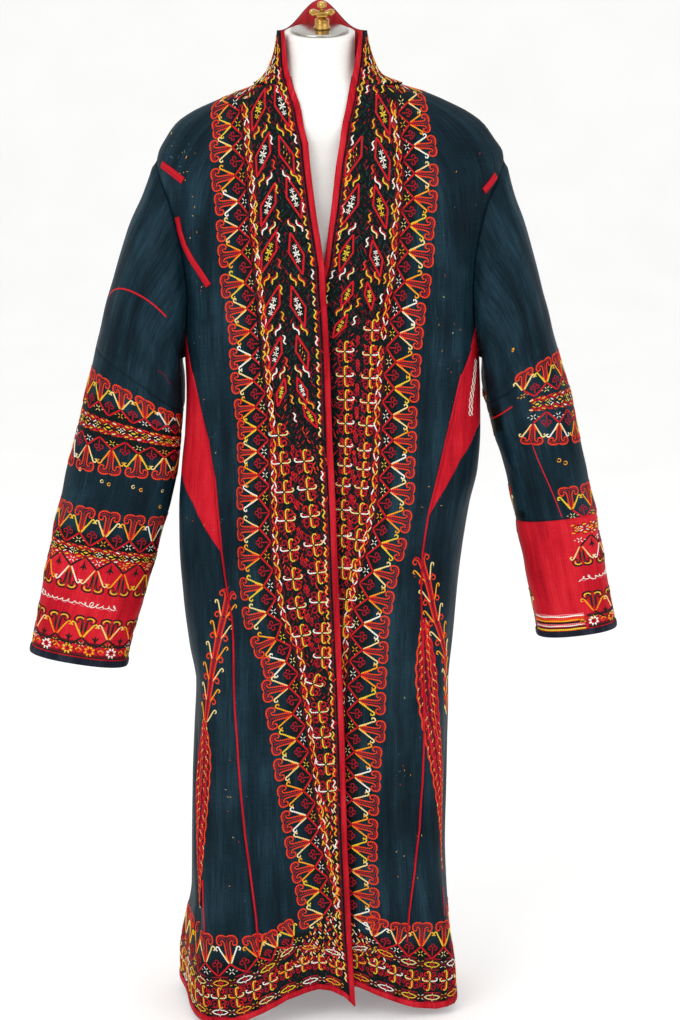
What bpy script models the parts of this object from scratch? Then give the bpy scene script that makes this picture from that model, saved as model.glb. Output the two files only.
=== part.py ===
"""An embroidered silk chapan, open down the front, on a limbless dress form.

The coat is one grid of points in height and angle, bent round the body by a table of level
sections. Each sewn piece takes its own cells of that grid, so neighbours keep the same points
along a seam. Lengths are millimetres until a mesh is made. The front faces -Y, and the wearer's
right is at -X.
"""

import bmesh
import bpy
import numpy as np

TO_METRES = 0.001
CLOTH = 2.2  # silk, wadding and red lining together
TRIM = 1.4  # a folded strip of red silk
PIPING = 1.2
GAP = 0.3  # space left between two pieces
MIDDLE_X, MIDDLE_Y = 3.5, 16.7  # puts the origin under the middle of the whole object
FLOOR = -8.0  # the level the stand rests on, in the tables' heights

# One level section a row. Right and left are half widths, front and back are depths from the
# section's middle, square is the superellipse's power and turn is degrees about the middle.
BODY_COLUMNS = ("height", "right", "left", "front", "back", "middle", "square", "turn")
BODY = (
    (12, 187, 185, 102, 136, 14, 4.0, 8.0),
    (60, 187, 184, 103, 132, 13, 3.8, 7.5),
    (105, 181, 180, 103, 128, 11, 3.3, 6.5),
    (150, 175, 176, 104, 126, 9, 2.9, 5.0),
    (220, 176, 173, 104, 123, 6, 2.6, 3.0),
    (310, 175, 174, 106, 121, 4, 2.5, 1.5),
    (390, 171, 175, 108, 118, 2, 2.5, 0.5),
    (450, 169, 174, 111, 116, 0, 2.5, 0.0),
    (510, 178, 179, 113, 115, -1, 2.5, 0.0),
    (570, 186, 184, 115, 114, -3, 2.5, 0.0),
    (640, 190, 191, 118, 114, -4, 2.5, 0.0),
    (700, 190, 200, 120, 115, -5, 2.5, 0.0),
    (750, 187, 211, 122, 116, -5, 2.5, 0.0),
    (800, 181, 214, 124, 117, -5, 2.5, 0.0),
    (850, 178, 213, 126, 118, -5, 2.5, 0.0),
    (900, 180, 212, 128, 119, -4, 2.5, 0.0),
    (960, 184, 214, 129, 119, -3, 2.5, 0.0),
    (1020, 193, 220, 128, 118, -2, 2.45, 0.0),
    (1070, 203, 229, 124, 115, -1, 2.4, 0.0),
    (1110, 211, 236, 117, 110, 0, 2.35, 0.0),
    (1142, 216, 242, 107, 103, 1, 2.3, 0.0),
    (1166, 213, 241, 97, 96, 2, 2.25, 0.0),
    (1188, 202, 228, 88, 89, 3, 2.2, 0.0),
    (1206, 189, 215, 79, 83, 4, 2.15, 0.0),
    (1221, 168, 195, 71, 77, 5, 2.1, 0.0),
    (1234, 140, 169, 64, 71, 5, 2.1, 0.0),
    (1246, 111, 141, 59, 66, 5, 2.05, 0.0),
    (1257, 84, 105, 56, 62, 5, 2.0, 0.0),
    (1268, 71, 80, 55, 60, 4, 2.0, 0.0),
    (1282, 63.5, 71, 54, 59, 3, 2.0, 0.0),
    (1298, 57.5, 65, 53, 59, 2, 2.0, 0.0),
    (1312, 55, 61.5, 53, 60, 1, 2.0, 0.0),
    (1326, 53.5, 59.5, 53, 62, 0, 2.0, 0.0),
)
# The fronts' free edges, and the lines across each front: the collar's outer line, the outer
# line of the embroidered border, and the seam to the gore or gusset.
FRONT_COLUMNS = (
    "height", "edge_right", "edge_left", "collar_right", "collar_left",
    "border_right", "border_left", "seam_right", "seam_left",
)
FRONTS = (
    (12, 48, 30, -12, 62, -26, 92, -80, 116),
    (80, 44, 28, -14, 52, -27, 76, -84, 118),
    (146, 41, 24, -20, 44, -30, 62, -88, 122),
    (220, 38, 20, -28, 42, -40, 63, -97, 131),
    (300, 35, 16, -36, 44, -52, 69, -106, 138),
    (400, 33, 12, -44, 47, -64, 77, -112, 141),
    (480, 30, 9, -50, 50, -73, 85, -116, 140),
    (530, 28, 7, -56, 52, -90, 87, -116, 138),
    (600, 25, 4, -64, 58, -99, 95, -124, 135),
    (660, 23, 2, -70, 68, -101, 112, -132, 137),
    (740, 20, -1, -73, 76, -99, 120, -138, 153),
    (800, 17, -4, -74, 84, -100, 121, -147, 166),
    (860, 15, -6, -75, 91, -109, 125, -162, 180),
    (900, 14, -7, -76, 91, -113, 129, -170, 188),
    (960, 11, -8, -80, 92, -121, 136, -178, 192),
    (1005, 8, -3, -84, 97, -127, 141, -182, 196),
    (1030, 7, 7, -86, 99, -130, 144, -184, 198),
    (1062, 2, 11, -88, 102, -133, 149, -186, 204),
    (1092, -3, 14, -91, 104, -135, 153, -188, 210),
    (1130, -8, 18, -94, 106, -138, 155, -190, 214),
    (1162, -12, 22, -96, 106, -143, 157, -200, 220),
    (1185, -14, 26, -97, 105, -147, 158, -200, 224),
    (1202, -19, 28, -97, 103, -148, 158, -190, 214),
    (1229, -24, 34, -94, 99, -126, 150, -150, 180),
    (1256, -34, 39, -69, 80, -78, 93, -84, 102),
    (1278, -40, 44, -55, 60, -62, 68, -65, 72),
    (1310, -44, 49, -50.6, 56.4, -53.4, 60, -55, 61.6),
    (1326, -45, 50.5, -49.8, 55.2, -51.8, 57.6, -53, 59),
)
# A soft fold a row: a ridge, or a valley if its lift is negative, that runs between two places.
# Sides are angles in degrees from the centre front, and the wearer's right is positive.
FOLD_COLUMNS = ("top", "side_at_top", "bottom", "side_at_bottom", "lift", "width")
FOLDS = (
    (900, 36, 520, 38, 7, 24),
    (860, 50, 480, 54, -8, 22),
    (640, 66, 0, 60, 9, 26),
    (560, 44, 0, 50, 13, 34),
    (520, 22, 0, 8, -9, 30),
    (440, 84, 60, 74, -9, 14),
    (430, 74, 80, 66, 7, 12),
    (560, -16, 0, -22, -9, 26),
    (620, -34, 0, -52, 10, 34),
    (680, -52, 0, -50, -6, 26),
    (640, -66, 0, -62, 9, 24),
    (480, -88, 20, -80, -8, 22),
    (1120, 52, 960, 46, -5, 22),
    (1130, -50, 940, -48, -6, 24),
    (1000, 112, 0, 108, 7, 40),
    (900, 132, 0, 130, -10, 36),
    (820, 154, 0, 152, 9, 40),
    (860, 178, 0, 180, -8, 42),
    (800, -154, 0, -152, 10, 40),
    (880, -132, 0, -130, -9, 36),
    (960, -112, 0, -108, 7, 36),
)
# How far the hem is lifted off its level by side, on the right front's half and on the left's.
HEM_LIFT_COLUMNS = ("side", "right_half", "left_half")
HEM_LIFT = ((-180, 0, 0), (-120, 0, 2), (-80, 0, 0), (-66, 0, -6), (-56, 0, -9), (-48, 0, -4), (-39, 0, 8),
            (-28, 0, 21), (-20, -2, 27), (-12, 13, 28), (0, 24, 24), (10, 26, 0), (20, 23, 0), (30, 17, 0),
            (40, 3, 0), (50, -12, 0), (60, -14, 0), (72, -13, 0), (90, -6, 0), (120, 2, 0), (180, 0, 0))
BINDING = 8.5  # how wide the red edge of the fronts and of the hem is
UNDERLAP, UNDERLAP_REACH = 15.0, 60.0  # how deep the left front goes behind the right one
COLLAR_RISE = 40.0  # how much higher the collar's peak stands at the back than its front ends
HEM, NECKLINE, COLLAR_TOP = 12, 1268, 1326
YAKA_END_RIGHT, YAKA_END_LEFT = 800, 920  # where the collar's two ends stop on the fronts
GORE_TOP = {"right": 650, "left": 700}  # the height of each gore's top edge at its seams
GORE_PEAK = {"right": 750, "left": 815}  # and half way between them
ARMHOLE_MIDDLE, ARMHOLE_HALF, ARMHOLE_REACH = 1028, 130, 66
LOOP_STEP = 15  # degrees between two points round the armhole
GUSSET_TURN = 135  # where round the armhole the gusset's corners are

# A ring a row, from the armhole to the cuff: its outermost and innermost points, how far it
# reaches to the front and to the back, and its middle.
SLEEVE_COLUMNS = ("share", "outer_x", "outer_z", "inner_x", "inner_z", "front", "back", "middle")
SLEEVE_RIGHT = (
    (0.00, 216, 1158, 180, 898, 66, 66, 0),
    (0.06, 234, 1112, 183, 889, 80, 68, -1),
    (0.13, 253, 1066, 182, 879, 86, 68, -2),
    (0.20, 268, 1018, 181.5, 867, 86, 67, -4),
    (0.27, 281, 972, 181.5, 853, 82, 66, -5),
    (0.36, 296, 914, 182.5, 830, 74, 64, -6),
    (0.44, 308, 862, 183.5, 804, 67, 62, -7),
    (0.50, 318, 822, 185.5, 779, 62, 60, -8),
    (0.56, 328, 783, 189, 750, 58, 58, -8),
    (0.62, 338, 745, 198, 716, 55, 56, -9),
    (0.70, 351, 690, 214, 664, 52, 53, -10),
    (0.78, 363, 638, 229, 612, 49, 50, -11),
    (0.86, 374, 587, 244, 561, 45, 46, -12),
    (0.93, 383, 544, 257, 521, 42, 43, -12),
    (1.00, 391, 498, 266, 478, 39, 40, -13),
)
SLEEVE_LEFT = (
    (0.00, 242, 1158, 212, 898, 66, 66, 0),
    (0.06, 256, 1112, 215, 891, 78, 68, -1),
    (0.13, 272, 1066, 216, 883, 82, 68, -2),
    (0.20, 289, 1006, 217, 873, 80, 67, -4),
    (0.27, 300, 962, 219, 861, 76, 66, -5),
    (0.36, 315, 908, 223, 841, 69, 63, -6),
    (0.44, 330, 858, 229, 815, 63, 60, -7),
    (0.50, 340, 815, 236, 791, 59, 58, -8),
    (0.56, 347, 783, 244, 766, 56, 56, -8),
    (0.62, 354, 750, 252, 737, 53, 54, -9),
    (0.70, 365, 704, 262, 692, 50, 51, -10),
    (0.78, 374, 659, 271, 647, 47, 48, -11),
    (0.86, 383, 613, 281, 601, 44, 45, -12),
    (0.93, 391, 573, 290, 561, 41, 42, -12),
    (1.00, 398, 533, 297, 521, 39, 40, -13),
)
# Folds that run across or along a sleeve, as shares of its length and angles round it. Angles
# start at the top of the shoulder and pass the front.
SLEEVE_FOLD_COLUMNS = ("from_share", "from_angle", "to_share", "to_angle", "lift", "width")
SLEEVE_FOLDS = (
    (0.05, 150, 0.34, 116, 7, 18),
    (0.08, 120, 0.44, 90, -5, 18),
    (0.10, 196, 0.42, 214, 7, 22),
    (0.46, 150, 0.60, 70, -4, 15),
    (0.52, 152, 0.70, 96, 4, 16),
    (0.30, 270, 0.80, 280, -4, 24),
    (0.66, 40, 0.98, 52, 3, 20),
)
CLEARANCE, EASE = 3.5, 5.0  # what a sleeve keeps off the coat's side, and how softly
SLEEVE_JOIN = 0.36  # where a sleeve's top piece is joined to the rest
CUFF_SHARE = {"right": 0.765, "left": 0.72}  # the red lower piece of each sleeve starts here

STRIP_WIDTH = 9.0
STRIPS = {  # x and height along the middle of each red strip beside an armhole
    "armhole_strip_right": ((-205, 1154), (-192, 1146), (-176, 1135)),
    "armhole_strip_lower_right": (
        (-184, 1088), (-181, 1070), (-175, 1052), (-165, 1034), (-153, 1017), (-143, 1002)),
    "armhole_strip_left": ((229, 1140), (222, 1131), (213, 1121)),
}

FORM_COLUMNS = ("height", "side", "front", "back", "middle", "square", "on_cloth")
FORM = (
    (640, 122, 84, 90, 0, 2.3, 0.0),
    (660, 132, 92, 97, 0, 2.3, 0.0),
    (720, 140, 97, 101, 0, 2.3, 0.0),
    (800, 134, 92, 94, 0, 2.3, 0.0),
    (880, 122, 84, 82, 0, 2.3, 0.0),
    (960, 126, 92, 84, 0, 2.3, 0.0),
    (1040, 142, 108, 92, 0, 2.3, 0.0),
    (1100, 156, 100, 94, 0, 2.3, 0.0),
    (1140, 167, 86, 88, 1, 2.25, 0.0),
    (1170, 172, 75, 80, 2, 2.2, 0.15),
    (1192, 172, 68, 74, 3, 2.15, 0.6),
    (1210, 165, 63, 68, 4, 2.1, 1.0),
    (1226, 150, 58, 62, 4, 2.1, 1.0),
    (1240, 126, 53, 57, 4, 2.05, 1.0),
    (1252, 88, 48, 54, 3, 2.0, 0.55),
    (1264, 62, 45, 50, 1, 2.0, 0.0),
    (1278, 50, 45, 46, 0, 2.0, 0.0),
    (1296, 46, 46, 46, 0, 2.0, 0.0),
    (1324, 46, 46, 46, 0, 2.0, 0.0),
)
FORM_REST = CLOTH + 0.6  # from the coat's outer face down to the form at the shoulders
CAP_TILT = 0.21  # rise over run of the neck's sloping top
CAP_HEIGHT = 1328.0

# A steel plate, notched at the front where the hem lifts, so that the coat hides it.
BASE_HEIGHT, POLE_Y = 9.0, 63.0
BASE_OUTLINE = ((-140, -60), (-84, -60), (-76, -52), (-76, 46), (108, 46), (108, -8), (114, -14), (142, -14),
                (150, -6), (152, 106), (134, 126), (-130, 126), (-148, 108), (-148, -52))

SILK, RED, DARK_TRIM = (0.030, 0.052, 0.072), (0.48, 0.020, 0.030), (0.020, 0.022, 0.030)
CANVAS, STEEL, BRASS = (0.80, 0.79, 0.76), (0.55, 0.54, 0.52), (0.60, 0.42, 0.18)


def smooth(t):
    t = np.clip(t, 0.0, 1.0)
    return t * t * (3.0 - 2.0 * t)


def columns(table, where):
    """The table's other columns at each place, along curves that don't overshoot its rows."""
    rows = np.array(table, float)
    at, values = rows[:, 0], rows[:, 1:]
    step = np.diff(at)[:, None]
    rate = np.diff(values, axis=0) / step
    slope = np.zeros_like(values)
    both = rate[:-1] * rate[1:] > 0
    slope[1:-1] = np.where(both, 2 * rate[:-1] * rate[1:] / np.where(both, rate[:-1] + rate[1:], 1), 0)
    slope[0], slope[-1] = rate[0], rate[-1]
    where = np.clip(np.asarray(where, float), at[0], at[-1])
    i = np.clip(np.searchsorted(at, where) - 1, 0, len(at) - 2)
    u = ((where - at[i]) / (at[i + 1] - at[i]))[..., None]
    h = step[i]
    found = ((2 * u**3 - 3 * u**2 + 1) * values[i] + (u**3 - 2 * u**2 + u) * h * slope[i]
             + (3 * u**2 - 2 * u**3) * values[i + 1] + (u**3 - u**2) * h * slope[i + 1])
    return np.moveaxis(found, -1, 0)


def soft_folds(height, angle, radius):
    lift = np.zeros_like(radius)
    for top, side_top, bottom, side_bottom, rise, width in FOLDS:
        along = (top - height) / (top - bottom)
        centre = np.radians(side_top + (side_bottom - side_top) * np.clip(along, 0, 1))
        off = (angle - centre + np.pi) % (2 * np.pi) - np.pi
        ends = smooth(along / 0.35) * smooth((1 - along) / (0.25 if bottom > 0 else 1e-6))
        lift += rise * ends * np.exp(-((off * radius / width) ** 2))
    return lift


def section_radius(height, angle):
    right, left, front, back, _, square, _ = columns(BODY, height)
    across, ahead = np.sin(angle), np.cos(angle)
    width = np.where(across > 0, right, left)
    depth = np.where(ahead > 0, front, back)
    return (np.abs(across / width) ** square + np.abs(ahead / depth) ** square) ** (-1 / square)


def placed(height, angle, radius):
    """The point at this angle and distance from the section's middle, turned as its row says."""
    middle, turn = columns(BODY, height)[[4, 6]]
    x, y, turn = -radius * np.sin(angle), -radius * np.cos(angle), np.radians(turn)
    rise = COLLAR_RISE * smooth((height - 1240) / (COLLAR_TOP - 1240)) * ((1 - np.cos(angle)) / 2) ** 15
    side, right_half, left_half = np.array(HEM_LIFT, float).T
    off = (np.degrees(angle) + 180) % 360 - 180
    lift = np.where(angle < np.pi, np.interp(off, side, right_half), np.interp(off, side, left_half))
    lift = lift * smooth((150 - height) / 138)
    return np.stack([x * np.cos(turn) - y * np.sin(turn), x * np.sin(turn) + y * np.cos(turn) + middle,
                     height + rise + lift], axis=-1)


def coat(height, angle, under=0.0):
    """A point of the coat's outer face. Angles run from the centre front towards the wearer's right."""
    height, angle = np.broadcast_arrays(np.asarray(height, float), np.asarray(angle, float))
    radius = section_radius(height, angle)
    radius = radius + soft_folds(height, angle, radius)
    return placed(height, angle, radius - under)


def coat_normal(height, angle, under=0.0):
    e, d = 0.004, 1.0
    across = coat(height, angle - e, under) - coat(height, angle + e, under)
    up = coat(height + d, angle, under) - coat(height - d, angle, under)
    n = np.cross(across, up)
    return n / np.linalg.norm(n, axis=-1, keepdims=True)


def angle_at_x(height, x, side_front):
    """The angle at which the section passes this x, on its front or on its back."""
    height = np.asarray(height, float)
    target, guess = np.asarray(x, float), np.asarray(x, float)
    right, left, front, back, _, square, _ = columns(BODY, height)
    for _ in range(6):
        width = np.where(guess < 0, right, left)
        share = np.clip(np.abs(guess) / width, 0, 0.9999)
        depth = np.where(side_front, front, back) * (1 - share**square) ** (1 / square)
        angle = np.arctan2(-guess, np.where(side_front, depth, -depth))
        radius = section_radius(height, angle)
        guess = guess + target - placed(height, angle, radius + soft_folds(height, angle, radius))[..., 0]
    return angle


def loop_angles(turn, side):
    """Heights and angles of the armhole's points. Turn 0 is the shoulder and 90 is the front."""
    turn = np.radians(np.asarray(turn, float))
    height = ARMHOLE_MIDDLE + ARMHOLE_HALF * np.cos(turn)
    right, left, front, back, middle, square, _ = columns(BODY, height)
    y = -ARMHOLE_REACH * np.sin(turn)
    depth, width = np.where(y < 0, front, back), right if side > 0 else left
    x = width * (1 - np.clip(np.abs(y) / depth, 0, 1) ** square) ** (1 / square)
    return height, np.arctan2(side * x, -y)


def coat_grid():
    """Heights, angles and depths behind the right front, for every row and column of the coat.

    Columns run from the right front's free edge round the back to the left front's: 10 to the
    right seam, 6 across the gore and gusset, 14 of the back, and the same on the left.
    """
    turns = np.arange(GUSSET_TURN, -1, -LOOP_STEP)
    loop_rows = ARMHOLE_MIDDLE + ARMHOLE_HALF * np.cos(np.radians(turns))
    lower = [HEM, HEM + BINDING, 62, 105, 150, 205, 265, 330, 395, 455, 505, 552, 600,
             GORE_TOP["right"], GORE_TOP["left"], 750, YAKA_END_RIGHT, 845, 885]
    upper = [1170, 1184, 1198, 1211, 1223, 1234, 1245, 1256, NECKLINE, 1281, 1296, 1310, COLLAR_TOP]
    rows = np.concatenate([lower, loop_rows, upper])
    first_loop, last_loop = len(lower), len(lower) + len(loop_rows) - 1
    gore_row = {name: lower.index(top) for name, top in GORE_TOP.items()}
    edge_r, edge_l, yaka_r, yaka_l, border_r, border_l, seam_r, seam_l = columns(FRONTS, rows)
    height = np.repeat(rows[:, None], 47, axis=1)
    angle = np.zeros_like(height)
    under = np.zeros_like(height)

    def lines(edge, yaka, border, seam_angle, side):
        e, c, b = (angle_at_x(rows, v, True) for v in (edge, yaka, border))
        binding = e + side * BINDING / section_radius(rows, e)
        found = [e, binding] + [binding + (c - binding) * k / 3 for k in (1, 2, 3)]
        found += [c + (b - c) * k / 2 for k in (1, 2)] + [b + (seam_angle - b) * k / 4 for k in (1, 2, 3, 4)]
        return np.stack(found, axis=1)

    def seam_angles(seam_x, side, on_front):
        found = angle_at_x(rows, seam_x, on_front)
        turn = turns if on_front else -turns
        found[first_loop:last_loop + 1] = loop_angles(turn, side)[1]
        found[last_loop:] = side * np.pi / 2
        # The seam runs straight in angle from the gore's height up to the gusset's corner.
        return found

    right_front, right_back = seam_angles(seam_r, 1, True), seam_angles(seam_r, 1, False)
    left_front, left_back = seam_angles(seam_l, -1, True), seam_angles(seam_l, -1, False)
    share = np.arange(7) / 6
    angle[:, 0:11] = lines(edge_r, yaka_r, border_r, right_front, 1)
    angle[:, 10:17] = right_front[:, None] + (right_back - right_front)[:, None] * share
    across = (2 * np.pi + left_back) - right_back
    angle[:, 16:31] = right_back[:, None] + across[:, None] * np.arange(15) / 14
    angle[:, 30:37] = (2 * np.pi + left_back)[:, None] + (left_front - left_back)[:, None] * share
    angle[:, 36:47] = 2 * np.pi + lines(edge_l, yaka_l, border_l, left_front, -1)[:, ::-1]
    # Between the seams the gore's top edge peaks, and the gusset fills up to the armhole.
    corner = (180 - GUSSET_TURN) * (1 - 2 * share)
    for name, start, side in (("right", 10, 1), ("left", 30, -1)):
        top, last_row = GORE_TOP[name], gore_row[name]
        peak = top + (GORE_PEAK[name] - top) * (1 - np.abs(2 * share - 1) ** 2.4)
        armpit, armpit_angle = loop_angles(180 - corner, side)
        if side < 0:
            armpit_angle = 2 * np.pi + armpit_angle[::-1]
        for i in range(first_loop + 1):
            if i <= last_row:
                t = (rows[i] - rows[0]) / (top - rows[0])
                height[i, start:start + 7] = rows[0] + (peak - rows[0]) * t
            else:
                t = (rows[i] - top) / (rows[first_loop] - top)
                height[i, start:start + 7] = peak + (armpit - peak) * t
                if t > 0.999:
                    angle[i, start:start + 7] = armpit_angle
    near = smooth(1 - (angle[:, 36:47] - angle[:, 46:47]) / (-UNDERLAP_REACH / 118.0))
    under[:, 36:47] = UNDERLAP * near * smooth((1110 - rows) / 60)[:, None]
    return rows, height, angle, under, first_loop, last_loop, gore_row


ROWS, HEIGHT, ANGLE, UNDER, FIRST_LOOP, LAST_LOOP, GORE_ROW = coat_grid()
COAT, NORMAL = coat(HEIGHT, ANGLE, UNDER), coat_normal(HEIGHT, ANGLE, UNDER)
NECK_ROW = int(np.argmin(np.abs(ROWS - NECKLINE)))
TOP_ROW = len(ROWS) - 1


def add_object(name, points, faces, colour, finish):
    mesh = bpy.data.meshes.new(name)
    shift = np.array([MIDDLE_X, MIDDLE_Y, FLOOR])
    mesh.from_pydata(((np.asarray(points) - shift) * TO_METRES).tolist(), [], faces)
    work = bmesh.new()
    work.from_mesh(mesh)
    bmesh.ops.recalc_face_normals(work, faces=work.faces)
    if work.calc_volume(signed=True) < 0:
        bmesh.ops.reverse_faces(work, faces=work.faces)
    work.to_mesh(mesh)
    work.free()
    made = bpy.data.objects.new(name, mesh)
    bpy.context.scene.collection.objects.link(made)
    material = bpy.data.materials.new(name)
    material.use_nodes = True
    shader = material.node_tree.nodes["Principled BSDF"]
    shader.inputs["Base Color"].default_value = (*colour, 1.0)
    shader.inputs["Roughness"].default_value, shader.inputs["Metallic"].default_value = finish
    mesh.materials.append(material)
    return made


def shell(name, points, normals, cells, inner, outer, colour, finish=(0.7, 0.0), trim=GAP / 2):
    """A closed wall over the chosen cells, between two distances along the normals.

    The wall's outline is drawn in by trim, so that two pieces that share a seam stay apart.
    """
    rows, cols = np.nonzero(cells)
    used = np.unique([(i + a, j + b) for i, j in zip(rows, cols) for a in (0, 1) for b in (0, 1)], axis=0)
    index = {tuple(v): k for k, v in enumerate(used)}
    quads = [[index[i, j], index[i, j + 1], index[i + 1, j + 1], index[i + 1, j]] for i, j in zip(rows, cols)]
    edges = {}
    for quad in quads:
        for a, b in zip(quad, quad[1:] + quad[:1]):
            edges[a, b] = True
    rim = [(a, b) for a, b in edges if (b, a) not in edges]
    at = points[used[:, 0], used[:, 1]]
    out = normals[used[:, 0], used[:, 1]]
    pull = np.zeros_like(at)
    for a, b in rim:
        along = at[b] - at[a]
        inward = np.cross(along, out[a] + out[b])
        inward /= np.linalg.norm(inward) + 1e-9
        pull[a] += inward
        pull[b] += inward
    # At a corner the two edges' pulls add up, so that both edges move in by trim.
    size = np.linalg.norm(pull, axis=1, keepdims=True)
    at = at + pull * trim * 2 / np.maximum(size, 0.8) ** 2
    count = len(used)
    both = np.concatenate([at + out * outer, at + out * inner])
    faces = []
    for a, b, c, d in quads:
        faces += [(a, b, c), (a, c, d), (a + count, c + count, b + count), (a + count, d + count, c + count)]
    for a, b in rim:
        # Both walls at a seam split their edge faces the same way, from the lower point.
        if tuple(used[a]) < tuple(used[b]):
            faces += [(b, a, b + count), (a, a + count, b + count)]
        else:
            faces += [(b, a, a + count), (b, a + count, b + count)]
    return add_object(name, both, faces, colour, finish)


def chosen(row_range, column_range, shape=None):
    cells = np.zeros((ROWS.size - 1, 46) if shape is None else shape, bool)
    cells[slice(*row_range), slice(*column_range)] = True
    return cells


def lathe(name, profile, colour, finish, centre=(0.0, 0.0), tilt=0.0, sides=24, pivot=0.0):
    """A turned solid. The profile's rows are (radius, height), closed through the axis."""
    turn = np.arange(sides) * 2 * np.pi / sides
    points = [np.stack([r * np.cos(turn), r * np.sin(turn), np.full(sides, float(z))], 1) for r, z in profile]
    points = np.concatenate(points + [[[0, 0, profile[0][1]]], [[0, 0, profile[-1][1]]]])
    points[:, 2] += points[:, 1] * tilt
    points += (*centre, 0.0)
    bottom, top = len(points) - 2, len(points) - 1
    last = (len(profile) - 1) * sides
    faces = []
    for k in range(sides):
        n = (k + 1) % sides
        faces += [(bottom, n, k), (top, last + k, last + n)]
        for r in range(len(profile) - 1):
            a, b, c, d = r * sides + k, r * sides + n, (r + 1) * sides + n, (r + 1) * sides + k
            faces += [(a, b, c), (a, c, d)]
    return add_object(name, points, faces, colour, finish)


def sleeve_ring(share, turn, side):
    """A point of a sleeve's outer face, before it is fitted to the armhole."""
    outer_x, outer_z, inner_x, inner_z, front, back, middle = columns(
        SLEEVE_RIGHT if side > 0 else SLEEVE_LEFT, share)
    along, across = np.cos(turn), np.sin(turn)
    reach = np.where(across > 0, front, back)
    square = 2.0 + 0.35 * smooth(share / 0.3)
    stretch = (np.abs(along) ** square + np.abs(across) ** square) ** (-1 / square)
    along, across = along * stretch, across * stretch
    x = (outer_x + inner_x) / 2 + along * (outer_x - inner_x) / 2
    z = (outer_z + inner_z) / 2 + along * (outer_z - inner_z) / 2
    return np.stack([-side * x, middle - across * reach, z], axis=-1)


def sleeve(share, turn, side):
    share, turn = np.broadcast_arrays(np.asarray(share, float), np.asarray(turn, float))
    at = sleeve_ring(share, turn, side)
    centre = (sleeve_ring(share, turn, side) + sleeve_ring(share, turn + np.pi, side)) / 2
    lift = CLOTH * smooth(share / 0.05)  # the table's rings are the cloth's inside
    for share_0, turn_0, share_1, turn_1, rise, width in SLEEVE_FOLDS:
        t = np.clip((share - share_0) / (share_1 - share_0), 0, 1)
        off = (turn - np.radians(turn_0 + (turn_1 - turn_0) * t) + np.pi) % (2 * np.pi) - np.pi
        ends = smooth((share - share_0) / 0.08) * smooth((share_1 - share) / 0.08)
        lift += rise * ends * np.exp(-((off * 72 / width) ** 2))
    outward = at - centre
    at = at + outward / np.linalg.norm(outward, axis=-1, keepdims=True) * lift[..., None]
    height, angle = loop_angles(np.degrees(turn), side)
    fit = coat(height, angle) - sleeve_ring(np.zeros_like(share), turn, side)
    at = at + fit * (1 - smooth(share / 0.22))[..., None]
    # Kept off the side of the coat, measured from the axis of its level section.
    middle = columns(BODY, at[..., 2])[4]
    off_x, off_y = at[..., 0], at[..., 1] - middle
    distance, around = np.hypot(off_x, off_y), np.arctan2(-off_x, -off_y)
    radius = section_radius(at[..., 2], around)
    radius = radius + soft_folds(at[..., 2], around, radius)
    start = smooth(share / 0.016)
    spare = distance - radius - CLEARANCE * start
    wanted = distance - spare + (spare + np.sqrt(spare**2 + (EASE * start) ** 2)) / 2
    grow = np.where(start > 0, wanted / distance, 1.0)
    return np.stack([off_x * grow, off_y * grow + middle, at[..., 2]], axis=-1)


def sleeve_normal(share, turn, side):
    e = 0.02
    low, high = np.clip(share - 0.004, 0, 1), np.clip(share + 0.004, 0, 1)
    down = sleeve(high, turn, side) - sleeve(low, turn, side)
    round_ = sleeve(share, turn + e, side) - sleeve(share, turn - e, side)
    n = np.cross(down, round_) * side
    return n / np.linalg.norm(n, axis=-1, keepdims=True)


def sleeve_grid(side, shares):
    turns = np.radians(np.arange(0, 360, LOOP_STEP))
    share, turn = np.meshgrid(shares, turns, indexing="ij")
    at, out = sleeve(share, turn, side), sleeve_normal(share, turn, side)
    # The first ring faces away from the armhole's middle, so that the wall stays inside the seam.
    middle = at[0].mean(axis=0)
    ring = at[0] - middle
    out[0] = ring / np.linalg.norm(ring, axis=1, keepdims=True)
    return at, out


def tube(name, at, out, first, last, inner, outer, colour, finish=(0.7, 0.0), draw_in=0.0):
    """A closed wall round a sleeve, between two of its rings."""
    ring = at.shape[1]
    at = at[first:last + 1].copy()
    if draw_in:
        for row, other in ((0, 1), (-1, -2)):
            way = at[other] - at[row]
            at[row] += way / np.linalg.norm(way, axis=1, keepdims=True) * draw_in
    both = np.concatenate([(at + out[first:last + 1] * d).reshape(-1, 3) for d in (outer, inner)])
    count, rows = at.shape[0] * ring, at.shape[0]
    faces = []
    for i in range(rows - 1):
        for j in range(ring):
            n = (j + 1) % ring
            a, b, c, d = i * ring + j, i * ring + n, (i + 1) * ring + n, (i + 1) * ring + j
            faces += [(a, c, b), (a, d, c)]
            faces += [(a + count, b + count, c + count), (a + count, c + count, d + count)]
    for j in range(ring):
        n = (j + 1) % ring
        low = (rows - 1) * ring
        faces += [(j, n, n + count), (j, n + count, j + count)]
        faces += [(low + n, low + j, low + j + count), (low + n, low + j + count, low + n + count)]
    return add_object(name, both, faces, colour, finish)


def remove_everything():
    for item in list(bpy.data.objects):
        bpy.data.objects.remove(item, do_unlink=True)


def make_panels():
    top = NECK_ROW
    shell("front_right", COAT, NORMAL, chosen((0, top), (0, 10)), -CLOTH, 0, SILK)
    shell("front_left", COAT, NORMAL, chosen((0, top), (36, 46)), -CLOTH, 0, SILK)
    shell("back", COAT, NORMAL, chosen((0, top), (16, 30)), -CLOTH, 0, SILK)
    for name, start in (("right", 10), ("left", 30)):
        shell(f"gore_{name}", COAT, NORMAL, chosen((0, GORE_ROW[name]), (start, start + 6)), -CLOTH, 0, SILK)
        cells = chosen((GORE_ROW[name], FIRST_LOOP), (start, start + 6))
        shell(f"gusset_{name}", COAT, NORMAL, cells, -CLOTH, 0, RED)


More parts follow.
